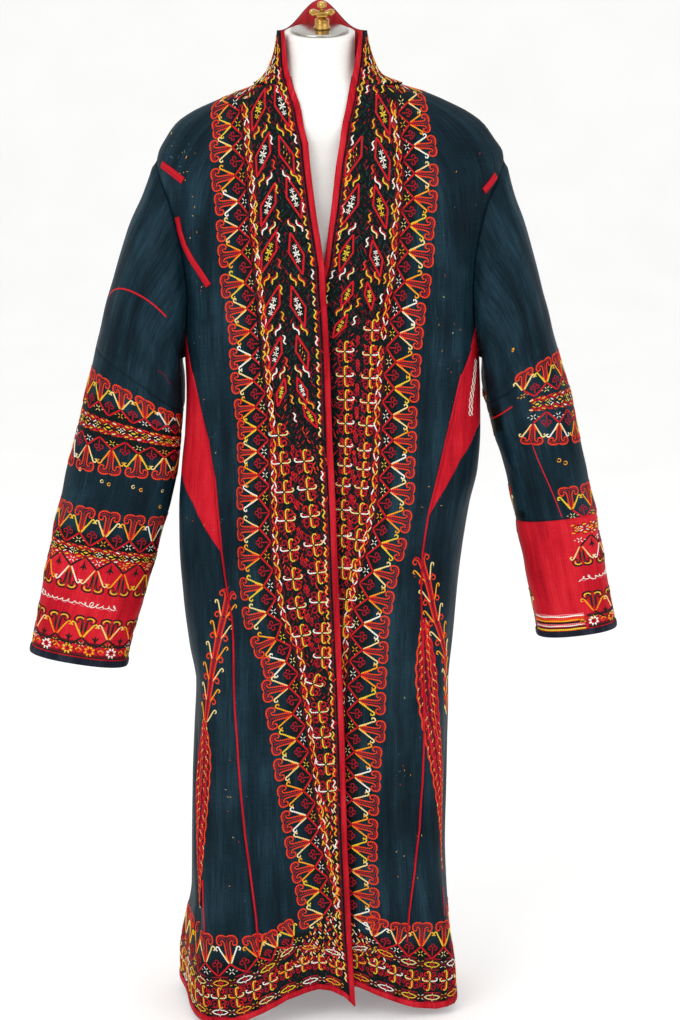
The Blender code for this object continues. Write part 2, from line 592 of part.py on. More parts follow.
def make_collar():
    """The yaka lies on both fronts and stands round the neck above the neckline."""
    keep = np.r_[0:11, 17:31, 37:47]
    at, out = COAT[:, keep], NORMAL[:, keep]
    count = len(keep) - 1
    right_end = int(np.argmin(np.abs(ROWS - YAKA_END_RIGHT)))
    left_end = int(np.argmin(np.abs(ROWS - YAKA_END_LEFT)))
    cells = chosen((NECK_ROW - 1, TOP_ROW), (1, count - 1), (ROWS.size - 1, count))
    for step in range(3):  # each end narrows downwards, towards the free edge
        cells[right_end + step:, 1:2 + step] = True
        cells[left_end + step:, count - 2 - step:count - 1] = True
    shell("collar", at, out, cells, GAP, GAP + CLOTH, DARK_TRIM)
    back = chosen((NECK_ROW, TOP_ROW), (10, count - 10), (ROWS.size - 1, count))
    shell("collar_lining", at, out, back, -TRIM, 0, RED)


def make_trims():
    """Red strips that bind the edges, made from the panels' own points moved out."""
    keep = np.r_[0:11, 17:31, 37:47]
    at, out = COAT[:, keep], NORMAL[:, keep]
    count = len(keep) - 1
    for name, column in (("right", 0), ("left", count - 1)):
        cells = chosen((0, TOP_ROW), (column, column + 1), (ROWS.size - 1, count))
        shell(f"front_binding_{name}", at, out, cells, GAP, GAP + TRIM, RED, trim=GAP)
    for name, first, last in (("right", 1, 16), ("back", 16, 30), ("left", 30, 45)):
        shell(f"hem_binding_{name}", COAT, NORMAL, chosen((0, 1), (first, last)), GAP, GAP + TRIM, RED)


def make_pipings():
    """Thin red cords sewn into the seams between each front and its gore and gusset."""
    for name, column, first in (("right", 10, 1), ("left", 36, -1)):
        rows = slice(3, FIRST_LOOP)
        line, beside = COAT[rows, column], COAT[rows, column - first]
        out = NORMAL[rows, column]
        way = beside - line
        share = 3.0 / np.linalg.norm(way, axis=1, keepdims=True)
        start = line + way * share * 0.1
        at = np.stack([start, line + way * share], axis=1)
        outs = np.stack([out, out * (1 - share) + NORMAL[rows, column - first] * share], axis=1)
        cells = np.ones((at.shape[0] - 1, 1), bool)
        shell(f"seam_piping_{name}", at, outs, cells, GAP, GAP + PIPING, RED)


SLEEVE_ROWS = np.array([
    0, 0.012, 0.026, 0.06, 0.10, 0.15, 0.205, 0.26, 0.31, SLEEVE_JOIN, 0.43, 0.50, 0.56, 0.63,
    CUFF_SHARE["left"], CUFF_SHARE["right"], 0.85, 0.93, 0.985, 1.0])


def make_sleeves():
    bound = len(SLEEVE_ROWS) - 2
    for name, side in (("right", 1), ("left", -1)):
        split = int(np.searchsorted(SLEEVE_ROWS, CUFF_SHARE[name]))
        at, out = sleeve_grid(side, SLEEVE_ROWS)
        at[0] -= out[0] * GAP / 2
        join = int(np.argmin(np.abs(SLEEVE_ROWS - SLEEVE_JOIN)))
        tube(f"sleeve_top_{name}", at, out, 0, join, -CLOTH, 0, SILK, draw_in=GAP * 0.7)
        tube(f"sleeve_{name}", at, out, join, split, -CLOTH, 0, SILK, draw_in=GAP * 0.7)
        tube(f"cuff_piece_{name}", at, out, split, bound + 1, -CLOTH, 0, RED, draw_in=GAP * 0.7)
        tube(f"cuff_binding_{name}", at, out, bound, bound + 1, GAP, GAP + TRIM, DARK_TRIM)


def make_strips():
    """Red strips sewn on the fronts beside the armholes, on points of the fronts themselves."""
    for name, line in STRIPS.items():
        x, height = np.array(line, float).T
        share = np.linspace(0, 1, 7) * (len(x) - 1)
        x, height = (np.interp(share, np.arange(len(x)), v) for v in (x, height))
        middle = coat(height, angle_at_x(height, x, True))
        across = np.cross(coat_normal(height, angle_at_x(height, x, True)), np.gradient(middle, axis=0))
        across /= np.linalg.norm(across, axis=1, keepdims=True)
        beside = middle[:, None] + across[:, None] * np.array([-0.5, 0, 0.5])[:, None] * STRIP_WIDTH
        angle = angle_at_x(beside[..., 2], beside[..., 0], True)
        at, out = coat(beside[..., 2], angle), coat_normal(beside[..., 2], angle)
        shell(name, at, out, np.ones((6, 2), bool), GAP, GAP + TRIM, RED)


def make_form():
    """The padded torso with its neck, whole and smooth, touching nothing but the shoulders."""
    heights = np.array([640, 645, 660, 690, 730, 780, 830, 880, 930, 980, 1030, 1070, 1100, 1125, 1148, 1168,
                        1184, 1198, 1211, 1223, 1234, 1245, 1256, 1268, 1281, 1296, 1324], float)
    turns = np.arange(28) * 2 * np.pi / 28
    height, turn = np.meshgrid(heights, turns, indexing="ij")
    side, front, back, middle, square, on_cloth = columns(FORM, height)
    ahead = np.cos(turn)
    depth = np.where(ahead > 0, front, back)
    radius = (np.abs(np.sin(turn) / side) ** square + np.abs(ahead / depth) ** square) ** (-1 / square)
    radius = radius * np.where(height < 642, 0.90, 1.0)
    own = np.stack([-radius * np.sin(turn), middle - radius * ahead, height], axis=-1)
    own[..., 2] += own[..., 1] * CAP_TILT * smooth((height - 1285) / 33)
    under_cloth = coat(height, turn) - coat_normal(height, turn) * FORM_REST
    points = own + (under_cloth - own) * on_cloth[..., None]
    rows, ring = height.shape
    flat = np.concatenate([points.reshape(-1, 3), [[0, 0, 640]], [[0, 0, points[-1, :, 2].mean()]]])
    bottom, top = rows * ring, rows * ring + 1
    faces = []
    for j in range(ring):
        n = (j + 1) % ring
        faces += [(bottom, j, n), (top, (rows - 1) * ring + n, (rows - 1) * ring + j)]
        for i in range(rows - 1):
            a, b, c, d = i * ring + j, i * ring + n, (i + 1) * ring + n, (i + 1) * ring + j
            faces += [(a, c, b), (a, d, c)]
    add_object("form_torso", flat, faces, CANVAS, (0.85, 0.0))


def make_stand():
    """The cap and its fittings on the neck, and the pole and base under the torso."""
    low = 1324 + GAP
    lathe("neck_cap", ((37, low), (38.5, low + 1), (38.5, CAP_HEIGHT - 1), (37, CAP_HEIGHT),
                       (12, CAP_HEIGHT)), STEEL, (0.25, 1.0), tilt=CAP_TILT, sides=32)
    stem = CAP_HEIGHT + GAP
    lathe("stem", ((11, stem), (11, stem + 2.5), (9.5, stem + 4), (9.5, stem + 12), (4.2, stem + 14)),
          BRASS, (0.3, 1.0), centre=(3.0, 0.0), sides=20, tilt=CAP_TILT)
    nut = stem + 14 + GAP
    outline = ((-7, 0), (7, 0), (8, 3), (14, 2.5), (17, 6), (16, 10), (11, 11), (5, 8), (-5, 8), (-11, 11),
               (-16, 10), (-17, 6), (-14, 2.5), (-8, 3))
    count = len(outline)
    points = [(x + 3.0, y, nut + z + y * CAP_TILT) for y in (-3.5, 3.5) for x, z in outline]
    faces = [tuple(range(count)), tuple(range(2 * count - 1, count - 1, -1))]
    faces += [(k, k + count, (k + 1) % count + count, (k + 1) % count) for k in range(count)]
    add_object("wing_nut", points, faces, BRASS, (0.3, 1.0))
    knob = nut + 8 + GAP
    lathe("knob", ((3.0, knob), (3.0, knob + 3), (5.5, knob + 5), (6.2, knob + 8), (5.0, knob + 11),
                   (2.2, knob + 12.5)), BRASS, (0.3, 1.0), centre=(3.0, 0.0), sides=20, tilt=CAP_TILT)
    lathe("pole", ((12.5, FLOOR + BASE_HEIGHT + GAP), (12.5, 640 - GAP)), STEEL, (0.3, 1.0),
          centre=(0.0, POLE_Y), sides=20)
    count = len(BASE_OUTLINE)
    points = [(x, y, z) for z in (FLOOR, FLOOR + BASE_HEIGHT) for x, y in BASE_OUTLINE]
    faces = [tuple(range(count)), tuple(range(2 * count - 1, count - 1, -1))]
    faces += [(k, k + count, (k + 1) % count + count, (k + 1) % count) for k in range(count)]
    add_object("base", points, faces, CANVAS, (0.5, 0.0))


remove_everything()
make_panels()
make_collar()
make_trims()
make_pipings()
make_sleeves()
make_strips()
make_form()
make_stand()
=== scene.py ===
"""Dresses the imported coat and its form: fine cloth, embroidery laid as thread, metal, and the studio.

Lengths are millimetres in the tables' frame until a mesh is made. The front faces -Y and the
wearer's right is at -X. Distances round the coat are measured on its own surface.
"""

import math

import bmesh
import bpy
import numpy as np

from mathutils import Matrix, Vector


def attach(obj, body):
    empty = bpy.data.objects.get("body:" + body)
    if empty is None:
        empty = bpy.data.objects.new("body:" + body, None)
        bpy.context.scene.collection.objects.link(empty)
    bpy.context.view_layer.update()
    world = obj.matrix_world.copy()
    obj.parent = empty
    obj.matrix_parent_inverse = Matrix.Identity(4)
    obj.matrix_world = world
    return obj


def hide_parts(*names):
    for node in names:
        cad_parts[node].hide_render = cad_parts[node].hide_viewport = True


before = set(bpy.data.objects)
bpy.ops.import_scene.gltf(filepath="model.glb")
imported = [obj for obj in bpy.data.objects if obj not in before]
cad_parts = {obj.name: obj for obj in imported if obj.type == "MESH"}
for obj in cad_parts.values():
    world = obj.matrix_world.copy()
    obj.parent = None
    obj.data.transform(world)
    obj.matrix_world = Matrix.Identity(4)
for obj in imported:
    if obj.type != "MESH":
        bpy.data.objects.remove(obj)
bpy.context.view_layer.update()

CLOTH = 2.2  # silk, wadding and red lining together
TRIM = 1.4  # a folded strip of red silk
GAP = 0.3  # space left between two pieces
MIDDLE_X, MIDDLE_Y = 3.5, 16.7  # puts the origin under the middle of the whole object
FLOOR = -8.0  # the level the stand rests on, in the tables' heights

# One level section a row: height, half widths to the right and left, depths to the front and back
# from the section's middle, that middle, the superellipse's power and a turn in degrees.
BODY = (
    (12, 187, 185, 102, 136, 14, 4.0, 8.0),
    (60, 187, 184, 103, 132, 13, 3.8, 7.5),
    (105, 181, 180, 103, 128, 11, 3.3, 6.5),
    (150, 175, 176, 104, 126, 9, 2.9, 5.0),
    (220, 176, 173, 104, 123, 6, 2.6, 3.0),
    (310, 175, 174, 106, 121, 4, 2.5, 1.5),
    (390, 171, 175, 108, 118, 2, 2.5, 0.5),
    (450, 169, 174, 111, 116, 0, 2.5, 0.0),
    (510, 178, 179, 113, 115, -1, 2.5, 0.0),
    (570, 186, 184, 115, 114, -3, 2.5, 0.0),
    (640, 190, 191, 118, 114, -4, 2.5, 0.0),
    (700, 190, 200, 120, 115, -5, 2.5, 0.0),
    (750, 187, 211, 122, 116, -5, 2.5, 0.0),
    (800, 181, 214, 124, 117, -5, 2.5, 0.0),
    (850, 178, 213, 126, 118, -5, 2.5, 0.0),
    (900, 180, 212, 128, 119, -4, 2.5, 0.0),
    (960, 184, 214, 129, 119, -3, 2.5, 0.0),
    (1020, 193, 220, 128, 118, -2, 2.45, 0.0),
    (1070, 203, 229, 124, 115, -1, 2.4, 0.0),
    (1110, 211, 236, 117, 110, 0, 2.35, 0.0),
    (1142, 216, 242, 107, 103, 1, 2.3, 0.0),
    (1166, 213, 241, 97, 96, 2, 2.25, 0.0),
    (1188, 202, 228, 88, 89, 3, 2.2, 0.0),
    (1206, 189, 215, 79, 83, 4, 2.15, 0.0),
    (1221, 168, 195, 71, 77, 5, 2.1, 0.0),
    (1234, 140, 169, 64, 71, 5, 2.1, 0.0),
    (1246, 111, 141, 59, 66, 5, 2.05, 0.0),
    (1257, 84, 105, 56, 62, 5, 2.0, 0.0),
    (1268, 71, 80, 55, 60, 4, 2.0, 0.0),
    (1282, 63.5, 71, 54, 59, 3, 2.0, 0.0),
    (1298, 57.5, 65, 53, 59, 2, 2.0, 0.0),
    (1312, 55, 61.5, 53, 60, 1, 2.0, 0.0),
    (1326, 53.5, 59.5, 53, 62, 0, 2.0, 0.0),
)
# The fronts, a height a row, then x on the right front and on the left one of four lines: the free
# edge, the collar's outer line, the outer line of the border, and the seam to the gore or gusset.
FRONTS = (
    (12, 48, 30, -12, 62, -26, 92, -80, 116),
    (80, 44, 28, -14, 52, -27, 76, -84, 118),
    (146, 41, 24, -20, 44, -30, 62, -88, 122),
    (220, 38, 20, -28, 42, -40, 63, -97, 131),
    (300, 35, 16, -36, 44, -52, 69, -106, 138),
    (400, 33, 12, -44, 47, -64, 77, -112, 141),
    (480, 30, 9, -50, 50, -73, 85, -116, 140),
    (530, 28, 7, -56, 52, -90, 87, -116, 138),
    (600, 25, 4, -64, 58, -99, 95, -124, 135),
    (660, 23, 2, -70, 68, -101, 112, -132, 137),
    (740, 20, -1, -73, 76, -99, 120, -138, 153),
    (800, 17, -4, -74, 84, -100, 121, -147, 166),
    (860, 15, -6, -75, 91, -109, 125, -162, 180),
    (900, 14, -7, -76, 91, -113, 129, -170, 188),
    (960, 11, -8, -80, 92, -121, 136, -178, 192),
    (1005, 8, -3, -84, 97, -127, 141, -182, 196),
    (1030, 7, 7, -86, 99, -130, 144, -184, 198),
    (1062, 2, 11, -88, 102, -133, 149, -186, 204),
    (1092, -3, 14, -91, 104, -135, 153, -188, 210),
    (1130, -8, 18, -94, 106, -138, 155, -190, 214),
    (1162, -12, 22, -96, 106, -143, 157, -200, 220),
    (1185, -14, 26, -97, 105, -147, 158, -200, 224),
    (1202, -19, 28, -97, 103, -148, 158, -190, 214),
    (1229, -24, 34, -94, 99, -126, 150, -150, 180),
    (1256, -34, 39, -69, 80, -78, 93, -84, 102),
    (1278, -40, 44, -55, 60, -62, 68, -65, 72),
    (1310, -44, 49, -50.6, 56.4, -53.4, 60, -55, 61.6),
    (1326, -45, 50.5, -49.8, 55.2, -51.8, 57.6, -53, 59),
)
# A soft fold a row: height and side of its top and of its bottom, lift and width. A valley's lift
# is negative. Sides are degrees from the centre front, and the wearer's right is positive.
FOLDS = (
    (900, 36, 520, 38, 7, 24),
    (860, 50, 480, 54, -8, 22),
    (640, 66, 0, 60, 9, 26),
    (560, 44, 0, 50, 13, 34),
    (520, 22, 0, 8, -9, 30),
    (440, 84, 60, 74, -9, 14),
    (430, 74, 80, 66, 7, 12),
    (560, -16, 0, -22, -9, 26),
    (620, -34, 0, -52, 10, 34),
    (680, -52, 0, -50, -6, 26),
    (640, -66, 0, -62, 9, 24),
    (480, -88, 20, -80, -8, 22),
    (1120, 52, 960, 46, -5, 22),
    (1130, -50, 940, -48, -6, 24),
    (1000, 112, 0, 108, 7, 40),
    (900, 132, 0, 130, -10, 36),
    (820, 154, 0, 152, 9, 40),
    (860, 178, 0, 180, -8, 42),
    (800, -154, 0, -152, 10, 40),
    (880, -132, 0, -130, -9, 36),
    (960, -112, 0, -108, 7, 36),
)
# How far the hem is lifted off its level: side, lift on the right front's half and on the left's.
HEM_LIFT = ((-180, 0, 0), (-120, 0, 2), (-80, 0, 0), (-66, 0, -6), (-56, 0, -9), (-48, 0, -4), (-39, 0, 8),
            (-28, 0, 21), (-20, -2, 27), (-12, 13, 28), (0, 24, 24), (10, 26, 0), (20, 23, 0), (30, 17, 0),
            (40, 3, 0), (50, -12, 0), (60, -14, 0), (72, -13, 0), (90, -6, 0), (120, 2, 0), (180, 0, 0))
BINDING = 8.5  # how wide the red edge of the fronts and of the hem is
UNDERLAP, UNDERLAP_REACH = 15.0, 60.0  # how deep the left front goes behind the right one
COLLAR_RISE = 40.0  # how much higher the collar's peak stands at the back than its front ends
HEM, NECKLINE, COLLAR_TOP = 12, 1268, 1326
YAKA_END = {"right": 800, "left": 920}  # where the collar's two ends stop on the fronts
GORE_TOP = {"right": 650, "left": 700}  # the height of each gore's top edge at its seams
GORE_PEAK = {"right": 750, "left": 815}  # and half way between them
ARMHOLE_MIDDLE, ARMHOLE_HALF, ARMHOLE_REACH = 1028, 130, 66
LOOP_STEP = 15  # degrees between two points round the armhole
GUSSET_TURN = 135  # where round the armhole the gusset's corners are

# A ring a row, from the armhole to the cuff: its share of the length, x and height of its outermost
# point and of its innermost, how far it reaches to the front and the back, and its middle.
SLEEVE_RIGHT = (
    (0.00, 216, 1158, 180, 898, 66, 66, 0),
    (0.06, 234, 1112, 183, 889, 80, 68, -1),
    (0.13, 253, 1066, 182, 879, 86, 68, -2),
    (0.20, 268, 1018, 181.5, 867, 86, 67, -4),
    (0.27, 281, 972, 181.5, 853, 82, 66, -5),
    (0.36, 296, 914, 182.5, 830, 74, 64, -6),
    (0.44, 308, 862, 183.5, 804, 67, 62, -7),
    (0.50, 318, 822, 185.5, 779, 62, 60, -8),
    (0.56, 328, 783, 189, 750, 58, 58, -8),
    (0.62, 338, 745, 198, 716, 55, 56, -9),
    (0.70, 351, 690, 214, 664, 52, 53, -10),
    (0.78, 363, 638, 229, 612, 49, 50, -11),
    (0.86, 374, 587, 244, 561, 45, 46, -12),
    (0.93, 383, 544, 257, 521, 42, 43, -12),
    (1.00, 391, 498, 266, 478, 39, 40, -13),
)
SLEEVE_LEFT = (
    (0.00, 242, 1158, 212, 898, 66, 66, 0),
    (0.06, 256, 1112, 215, 891, 78, 68, -1),
    (0.13, 272, 1066, 216, 883, 82, 68, -2),
    (0.20, 289, 1006, 217, 873, 80, 67, -4),
    (0.27, 300, 962, 219, 861, 76, 66, -5),
    (0.36, 315, 908, 223, 841, 69, 63, -6),
    (0.44, 330, 858, 229, 815, 63, 60, -7),
    (0.50, 340, 815, 236, 791, 59, 58, -8),
    (0.56, 347, 783, 244, 766, 56, 56, -8),
    (0.62, 354, 750, 252, 737, 53, 54, -9),
    (0.70, 365, 704, 262, 692, 50, 51, -10),
    (0.78, 374, 659, 271, 647, 47, 48, -11),
    (0.86, 383, 613, 281, 601, 44, 45, -12),
    (0.93, 391, 573, 290, 561, 41, 42, -12),
    (1.00, 398, 533, 297, 521, 39, 40, -13),
)
# Folds across or along a sleeve: share and angle of one end and of the other, lift and width.
# Angles start at the top of the shoulder and pass the front.
SLEEVE_FOLDS = (
    (0.05, 150, 0.34, 116, 7, 18),
    (0.08, 120, 0.44, 90, -5, 18),
    (0.10, 196, 0.42, 214, 7, 22),
    (0.46, 150, 0.60, 70, -4, 15),
    (0.52, 152, 0.70, 96, 4, 16),
    (0.30, 270, 0.80, 280, -4, 24),
    (0.66, 40, 0.98, 52, 3, 20),
)
CLEARANCE, EASE = 3.5, 5.0  # what a sleeve keeps off the coat's side, and how softly
SLEEVE_JOIN = 0.36  # where a sleeve's top piece is joined to the rest
CUFF_SHARE = {"right": 0.765, "left": 0.72}  # the red lower piece of each sleeve starts here

STRIP_WIDTH = 9.0
STRIPS = {  # x and height along the middle of each red strip beside an armhole
    "armhole_strip_right": ((-205, 1154), (-192, 1146), (-176, 1135)),
    "armhole_strip_lower_right": (
        (-184, 1088), (-181, 1070), (-175, 1052), (-165, 1034), (-153, 1017), (-143, 1002)),
    "armhole_strip_left": ((229, 1140), (222, 1131), (213, 1121)),
}

# The form's level sections: height, half width, depths to the front and back, middle, power, and
# how far the section is drawn to the inside of the coat that lies on it.
FORM = (
    (640, 122, 84, 90, 0, 2.3, 0.0),
    (660, 132, 92, 97, 0, 2.3, 0.0),
    (720, 140, 97, 101, 0, 2.3, 0.0),
    (800, 134, 92, 94, 0, 2.3, 0.0),
    (880, 122, 84, 82, 0, 2.3, 0.0),
    (960, 126, 92, 84, 0, 2.3, 0.0),
    (1040, 142, 108, 92, 0, 2.3, 0.0),
    (1100, 156, 100, 94, 0, 2.3, 0.0),
    (1140, 167, 86, 88, 1, 2.25, 0.0),
    (1170, 172, 75, 80, 2, 2.2, 0.15),
    (1192, 172, 68, 74, 3, 2.15, 0.6),
    (1210, 165, 63, 68, 4, 2.1, 1.0),
    (1226, 150, 58, 62, 4, 2.1, 1.0),
    (1240, 126, 53, 57, 4, 2.05, 1.0),
    (1252, 88, 48, 54, 3, 2.0, 0.55),
    (1264, 62, 45, 50, 1, 2.0, 0.0),
    (1278, 50, 45, 46, 0, 2.0, 0.0),
    (1296, 46, 46, 46, 0, 2.0, 0.0),
    (1324, 46, 46, 46, 0, 2.0, 0.0),
)
FORM_REST = CLOTH + 0.6  # from the coat's outer face down to the form at the shoulders
CAP_TILT = 0.21  # rise over run of the neck's sloping top
CAP_HEIGHT = 1328.0
NECK_TOP = 1324.0


def smooth(t):
    t = np.clip(t, 0.0, 1.0)
    return t * t * (3.0 - 2.0 * t)


def columns(table, where):
    """The table's other columns at each place, along curves that don't overshoot its rows."""
    rows = np.array(table, float)
    at, values = rows[:, 0], rows[:, 1:]
    step = np.diff(at)[:, None]
    rate = np.diff(values, axis=0) / step
    slope = np.zeros_like(values)
    both = rate[:-1] * rate[1:] > 0
    slope[1:-1] = np.where(both, 2 * rate[:-1] * rate[1:] / np.where(both, rate[:-1] + rate[1:], 1), 0)
    slope[0], slope[-1] = rate[0], rate[-1]
    where = np.clip(np.asarray(where, float), at[0], at[-1])
    i = np.clip(np.searchsorted(at, where) - 1, 0, len(at) - 2)
    u = ((where - at[i]) / (at[i + 1] - at[i]))[..., None]
    h = step[i]
    found = ((2 * u**3 - 3 * u**2 + 1) * values[i] + (u**3 - 2 * u**2 + u) * h * slope[i]
             + (3 * u**2 - 2 * u**3) * values[i + 1] + (u**3 - u**2) * h * slope[i + 1])
    return np.moveaxis(found, -1, 0)


def soft_folds(height, angle, radius):
    lift = np.zeros_like(radius)
    for top, side_top, bottom, side_bottom, rise, width in FOLDS:
        along = (top - height) / (top - bottom)
        centre = np.radians(side_top + (side_bottom - side_top) * np.clip(along, 0, 1))
        off = (angle - centre + np.pi) % (2 * np.pi) - np.pi
        ends = smooth(along / 0.35) * smooth((1 - along) / (0.25 if bottom > 0 else 1e-6))
        lift += rise * ends * np.exp(-((off * radius / width) ** 2))
    return lift + fine_wrinkles(height, angle)


def section_radius(height, angle):
    right, left, front, back, _, square, _ = columns(BODY, height)
    across, ahead = np.sin(angle), np.cos(angle)
    width = np.where(across > 0, right, left)
    depth = np.where(ahead > 0, front, back)
    return (np.abs(across / width) ** square + np.abs(ahead / depth) ** square) ** (-1 / square)


def placed(height, angle, radius):
    """The point at this angle and distance from the section's middle, turned as its row says."""
    middle, turn = columns(BODY, height)[[4, 6]]
    x, y, turn = -radius * np.sin(angle), -radius * np.cos(angle), np.radians(turn)
    rise = COLLAR_RISE * smooth((height - 1240) / (COLLAR_TOP - 1240)) * ((1 - np.cos(angle)) / 2) ** 15
    side, right_half, left_half = np.array(HEM_LIFT, float).T
    off = (np.degrees(angle) + 180) % 360 - 180
    lift = np.where(angle < np.pi, np.interp(off, side, right_half), np.interp(off, side, left_half))
    lift = lift * smooth((150 - height) / 138)
    return np.stack([x * np.cos(turn) - y * np.sin(turn), x * np.sin(turn) + y * np.cos(turn) + middle,
                     height + rise + lift], axis=-1)


def coat(height, angle, under=0.0):
    """A point of the coat's outer face. Angles run from the centre front towards the wearer's right."""
    height, angle = np.broadcast_arrays(np.asarray(height, float), np.asarray(angle, float))
    radius = section_radius(height, angle)
    radius = radius + soft_folds(height, angle, radius)
    return placed(height, angle, radius - under)


def coat_normal(height, angle, under=0.0):
    e, d = 0.004, 1.0
    across = coat(height, angle - e, under) - coat(height, angle + e, under)
    up = coat(height + d, angle, under) - coat(height - d, angle, under)
    n = np.cross(across, up)
    return n / np.linalg.norm(n, axis=-1, keepdims=True)


def angle_at_x(height, x, side_front):
    """The angle at which the section passes this x, on its front or on its back."""
    height = np.asarray(height, float)
    target, guess = np.asarray(x, float), np.asarray(x, float)
    right, left, front, back, _, square, _ = columns(BODY, height)
    for _ in range(6):
        width = np.where(guess < 0, right, left)
        share = np.clip(np.abs(guess) / width, 0, 0.9999)
        depth = np.where(side_front, front, back) * (1 - share**square) ** (1 / square)
        angle = np.arctan2(-guess, np.where(side_front, depth, -depth))
        radius = section_radius(height, angle)
        guess = guess + target - placed(height, angle, radius + soft_folds(height, angle, radius))[..., 0]
    return angle


def loop_angles(turn, side):
    """Heights and angles of the armhole's points. Turn 0 is the shoulder and 90 is the front."""
    turn = np.radians(np.asarray(turn, float))
    height = ARMHOLE_MIDDLE + ARMHOLE_HALF * np.cos(turn)
    right, left, front, back, _, square, _ = columns(BODY, height)
    y = -ARMHOLE_REACH * np.sin(turn)
    depth, width = np.where(y < 0, front, back), right if side > 0 else left
    x = width * (1 - np.clip(np.abs(y) / depth, 0, 1) ** square) ** (1 / square)
    return height, np.arctan2(side * x, -y)


FINE = 4  # columns of the fine coat between two of the sewn grid's
FRONT_DEPTH = 118.0  # about how far the fronts are from their sections' middles
SLEEVE_LENGTH = 632.0


def fine_wrinkles(height, angle):
    """Small slack waves of the silk, on top of the big folds."""
    h, a = np.asarray(height, float), np.asarray(angle, float)
    drape = np.sin(11 * a + 1.3 * np.sin(h / 260.0) + 0.6)
    drape = drape + 0.7 * np.sin(17 * a - 0.9 * np.sin(h / 190.0 + 1.0) + 2.1)
    slack = np.sin(h / 23.0 + 2.2 * np.sin(3 * a + 0.4) + 1.1 * np.sin(h / 71.0))
    slant = np.sin(h / 37.0 + 6.0 * a + 1.5 * np.sin(h / 113.0))
    calm = smooth((1300 - h) / 160)
    return calm * (0.55 * drape * smooth((1150 - h) / 500) + 0.28 * slack + 0.34 * slant)


def underlap(height, angle):
    """How far the left front lies behind the right one."""
    edge = 2 * np.pi + angle_at_x(height, columns(FRONTS, height)[1], True)
    near = smooth(1 - (angle - edge) / (-UNDERLAP_REACH / FRONT_DEPTH))
    return UNDERLAP * near * smooth((1110 - height) / 60)


class Map:
    """Distances measured along rows of points on a surface, and the angles they lie at."""

    def measure(self, at, turns, start):
        step = np.linalg.norm(np.diff(at, axis=1), axis=2)
        away = np.concatenate([np.zeros((len(at), 1)), np.cumsum(step, axis=1)], axis=1)
        zero = np.argmin(np.abs(turns - start))
        self.turns, self.away = turns, away - away[:, zero:zero + 1]

    def row(self, place):
        """The distances along the row at each fractional place."""
        i = place.astype(int)
        t = (place - i)[:, None]
        return self.away[i] * (1 - t) + self.away[i + 1] * t

    def turn(self, away, place):
        row = self.row(place)
        k = np.clip((row < away[:, None]).sum(axis=1), 1, len(self.turns) - 1)
        n = np.arange(len(k))
        low, high = row[n, k - 1], row[n, k]
        return self.turns[k - 1] + (self.turns[k] - self.turns[k - 1]) * (away - low) / (high - low)


class Chart(Map):
    """Half of the coat, as distances from the centre front and heights."""

    STEP = 6.0

    def __init__(self, side):
        self.side = side
        self.heights = np.arange(4.0, 1331.0, self.STEP)
        turns = np.linspace(-0.95, 3.7, 187)
        height, turn = np.meshgrid(self.heights, turns, indexing="ij")
        self.measure(coat(height, self.true_angle(turn)), turns, 0.0)

    def true_angle(self, turn):
        return turn if self.side > 0 else 2 * np.pi - turn

    def place(self, height):
        return np.clip((height - self.heights[0]) / self.STEP, 0, len(self.heights) - 1.001)

    def away_at(self, turn, height):
        rows = self.row(self.place(height))
        return np.array([np.interp(a, self.turns, r) for a, r in zip(turn, rows)])

    def away_of(self, turn, height):
        return float(self.away_at(np.array([turn]), np.array([height]))[0])

    def surface(self, away, height):
        """Points and outward directions of the outer face."""
        angle = self.true_angle(self.turn(away, self.place(height)))
        under = underlap(height, angle) if self.side < 0 else 0.0
        return coat(height, angle, under), coat_normal(height, angle, under)


class SleeveChart(Map):
    """A sleeve, as distances round it from its front and distances down it."""

    ROUND = 144  # so many of its 180 steps make a whole turn

    def __init__(self, side):
        self.side = side
        self.shares = np.linspace(0.0, 1.0, 101)
        turns = np.linspace(-math.pi * 0.75, math.pi * 1.75, 181)
        share, turn = np.meshgrid(self.shares, turns, indexing="ij")
        self.measure(sleeve(share, turn, side), turns, math.pi / 2)

    def around(self, down):
        """How long the sleeve's ring is there."""
        rings = self.away[:, self.ROUND] - self.away[:, 0]
        return float(np.interp(down / SLEEVE_LENGTH, self.shares, rings))

    def surface(self, away, down):
        share = np.clip(down / SLEEVE_LENGTH, 0.0, 1.0)
        turn = self.turn(away, np.clip(share * 100, 0, 99.999))
        return sleeve(share, turn, self.side), sleeve_normal(share, turn, self.side)


def sleeve_wrinkles(share, turn):
    """Small waves across a sleeve, where its cloth is slack."""
    s, t = np.asarray(share, float), np.asarray(turn, float)
    waves = np.sin(44 * s + 2.0 * np.sin(t + 0.6) + 1.2 * np.sin(9 * s))
    waves = waves + 0.6 * np.sin(71 * s - 3.0 * t + 1.0)
    along = np.sin(5 * t + 3.0 * np.sin(4 * s))
    return smooth(s / 0.10) * smooth((1.02 - s) / 0.12) * (0.55 * waves + 0.5 * along)


def sleeve_ring(share, turn, side):
    """A point of a sleeve's outer face, before it is fitted to the armhole."""
    outer_x, outer_z, inner_x, inner_z, front, back, middle = columns(
        SLEEVE_RIGHT if side > 0 else SLEEVE_LEFT, share)
    along, across = np.cos(turn), np.sin(turn)
    reach = np.where(across > 0, front, back)
    square = 2.0 + 0.35 * smooth(share / 0.3)
    stretch = (np.abs(along) ** square + np.abs(across) ** square) ** (-1 / square)
    along, across = along * stretch, across * stretch
    x = (outer_x + inner_x) / 2 + along * (outer_x - inner_x) / 2
    z = (outer_z + inner_z) / 2 + along * (outer_z - inner_z) / 2
    return np.stack([-side * x, middle - across * reach, z], axis=-1)


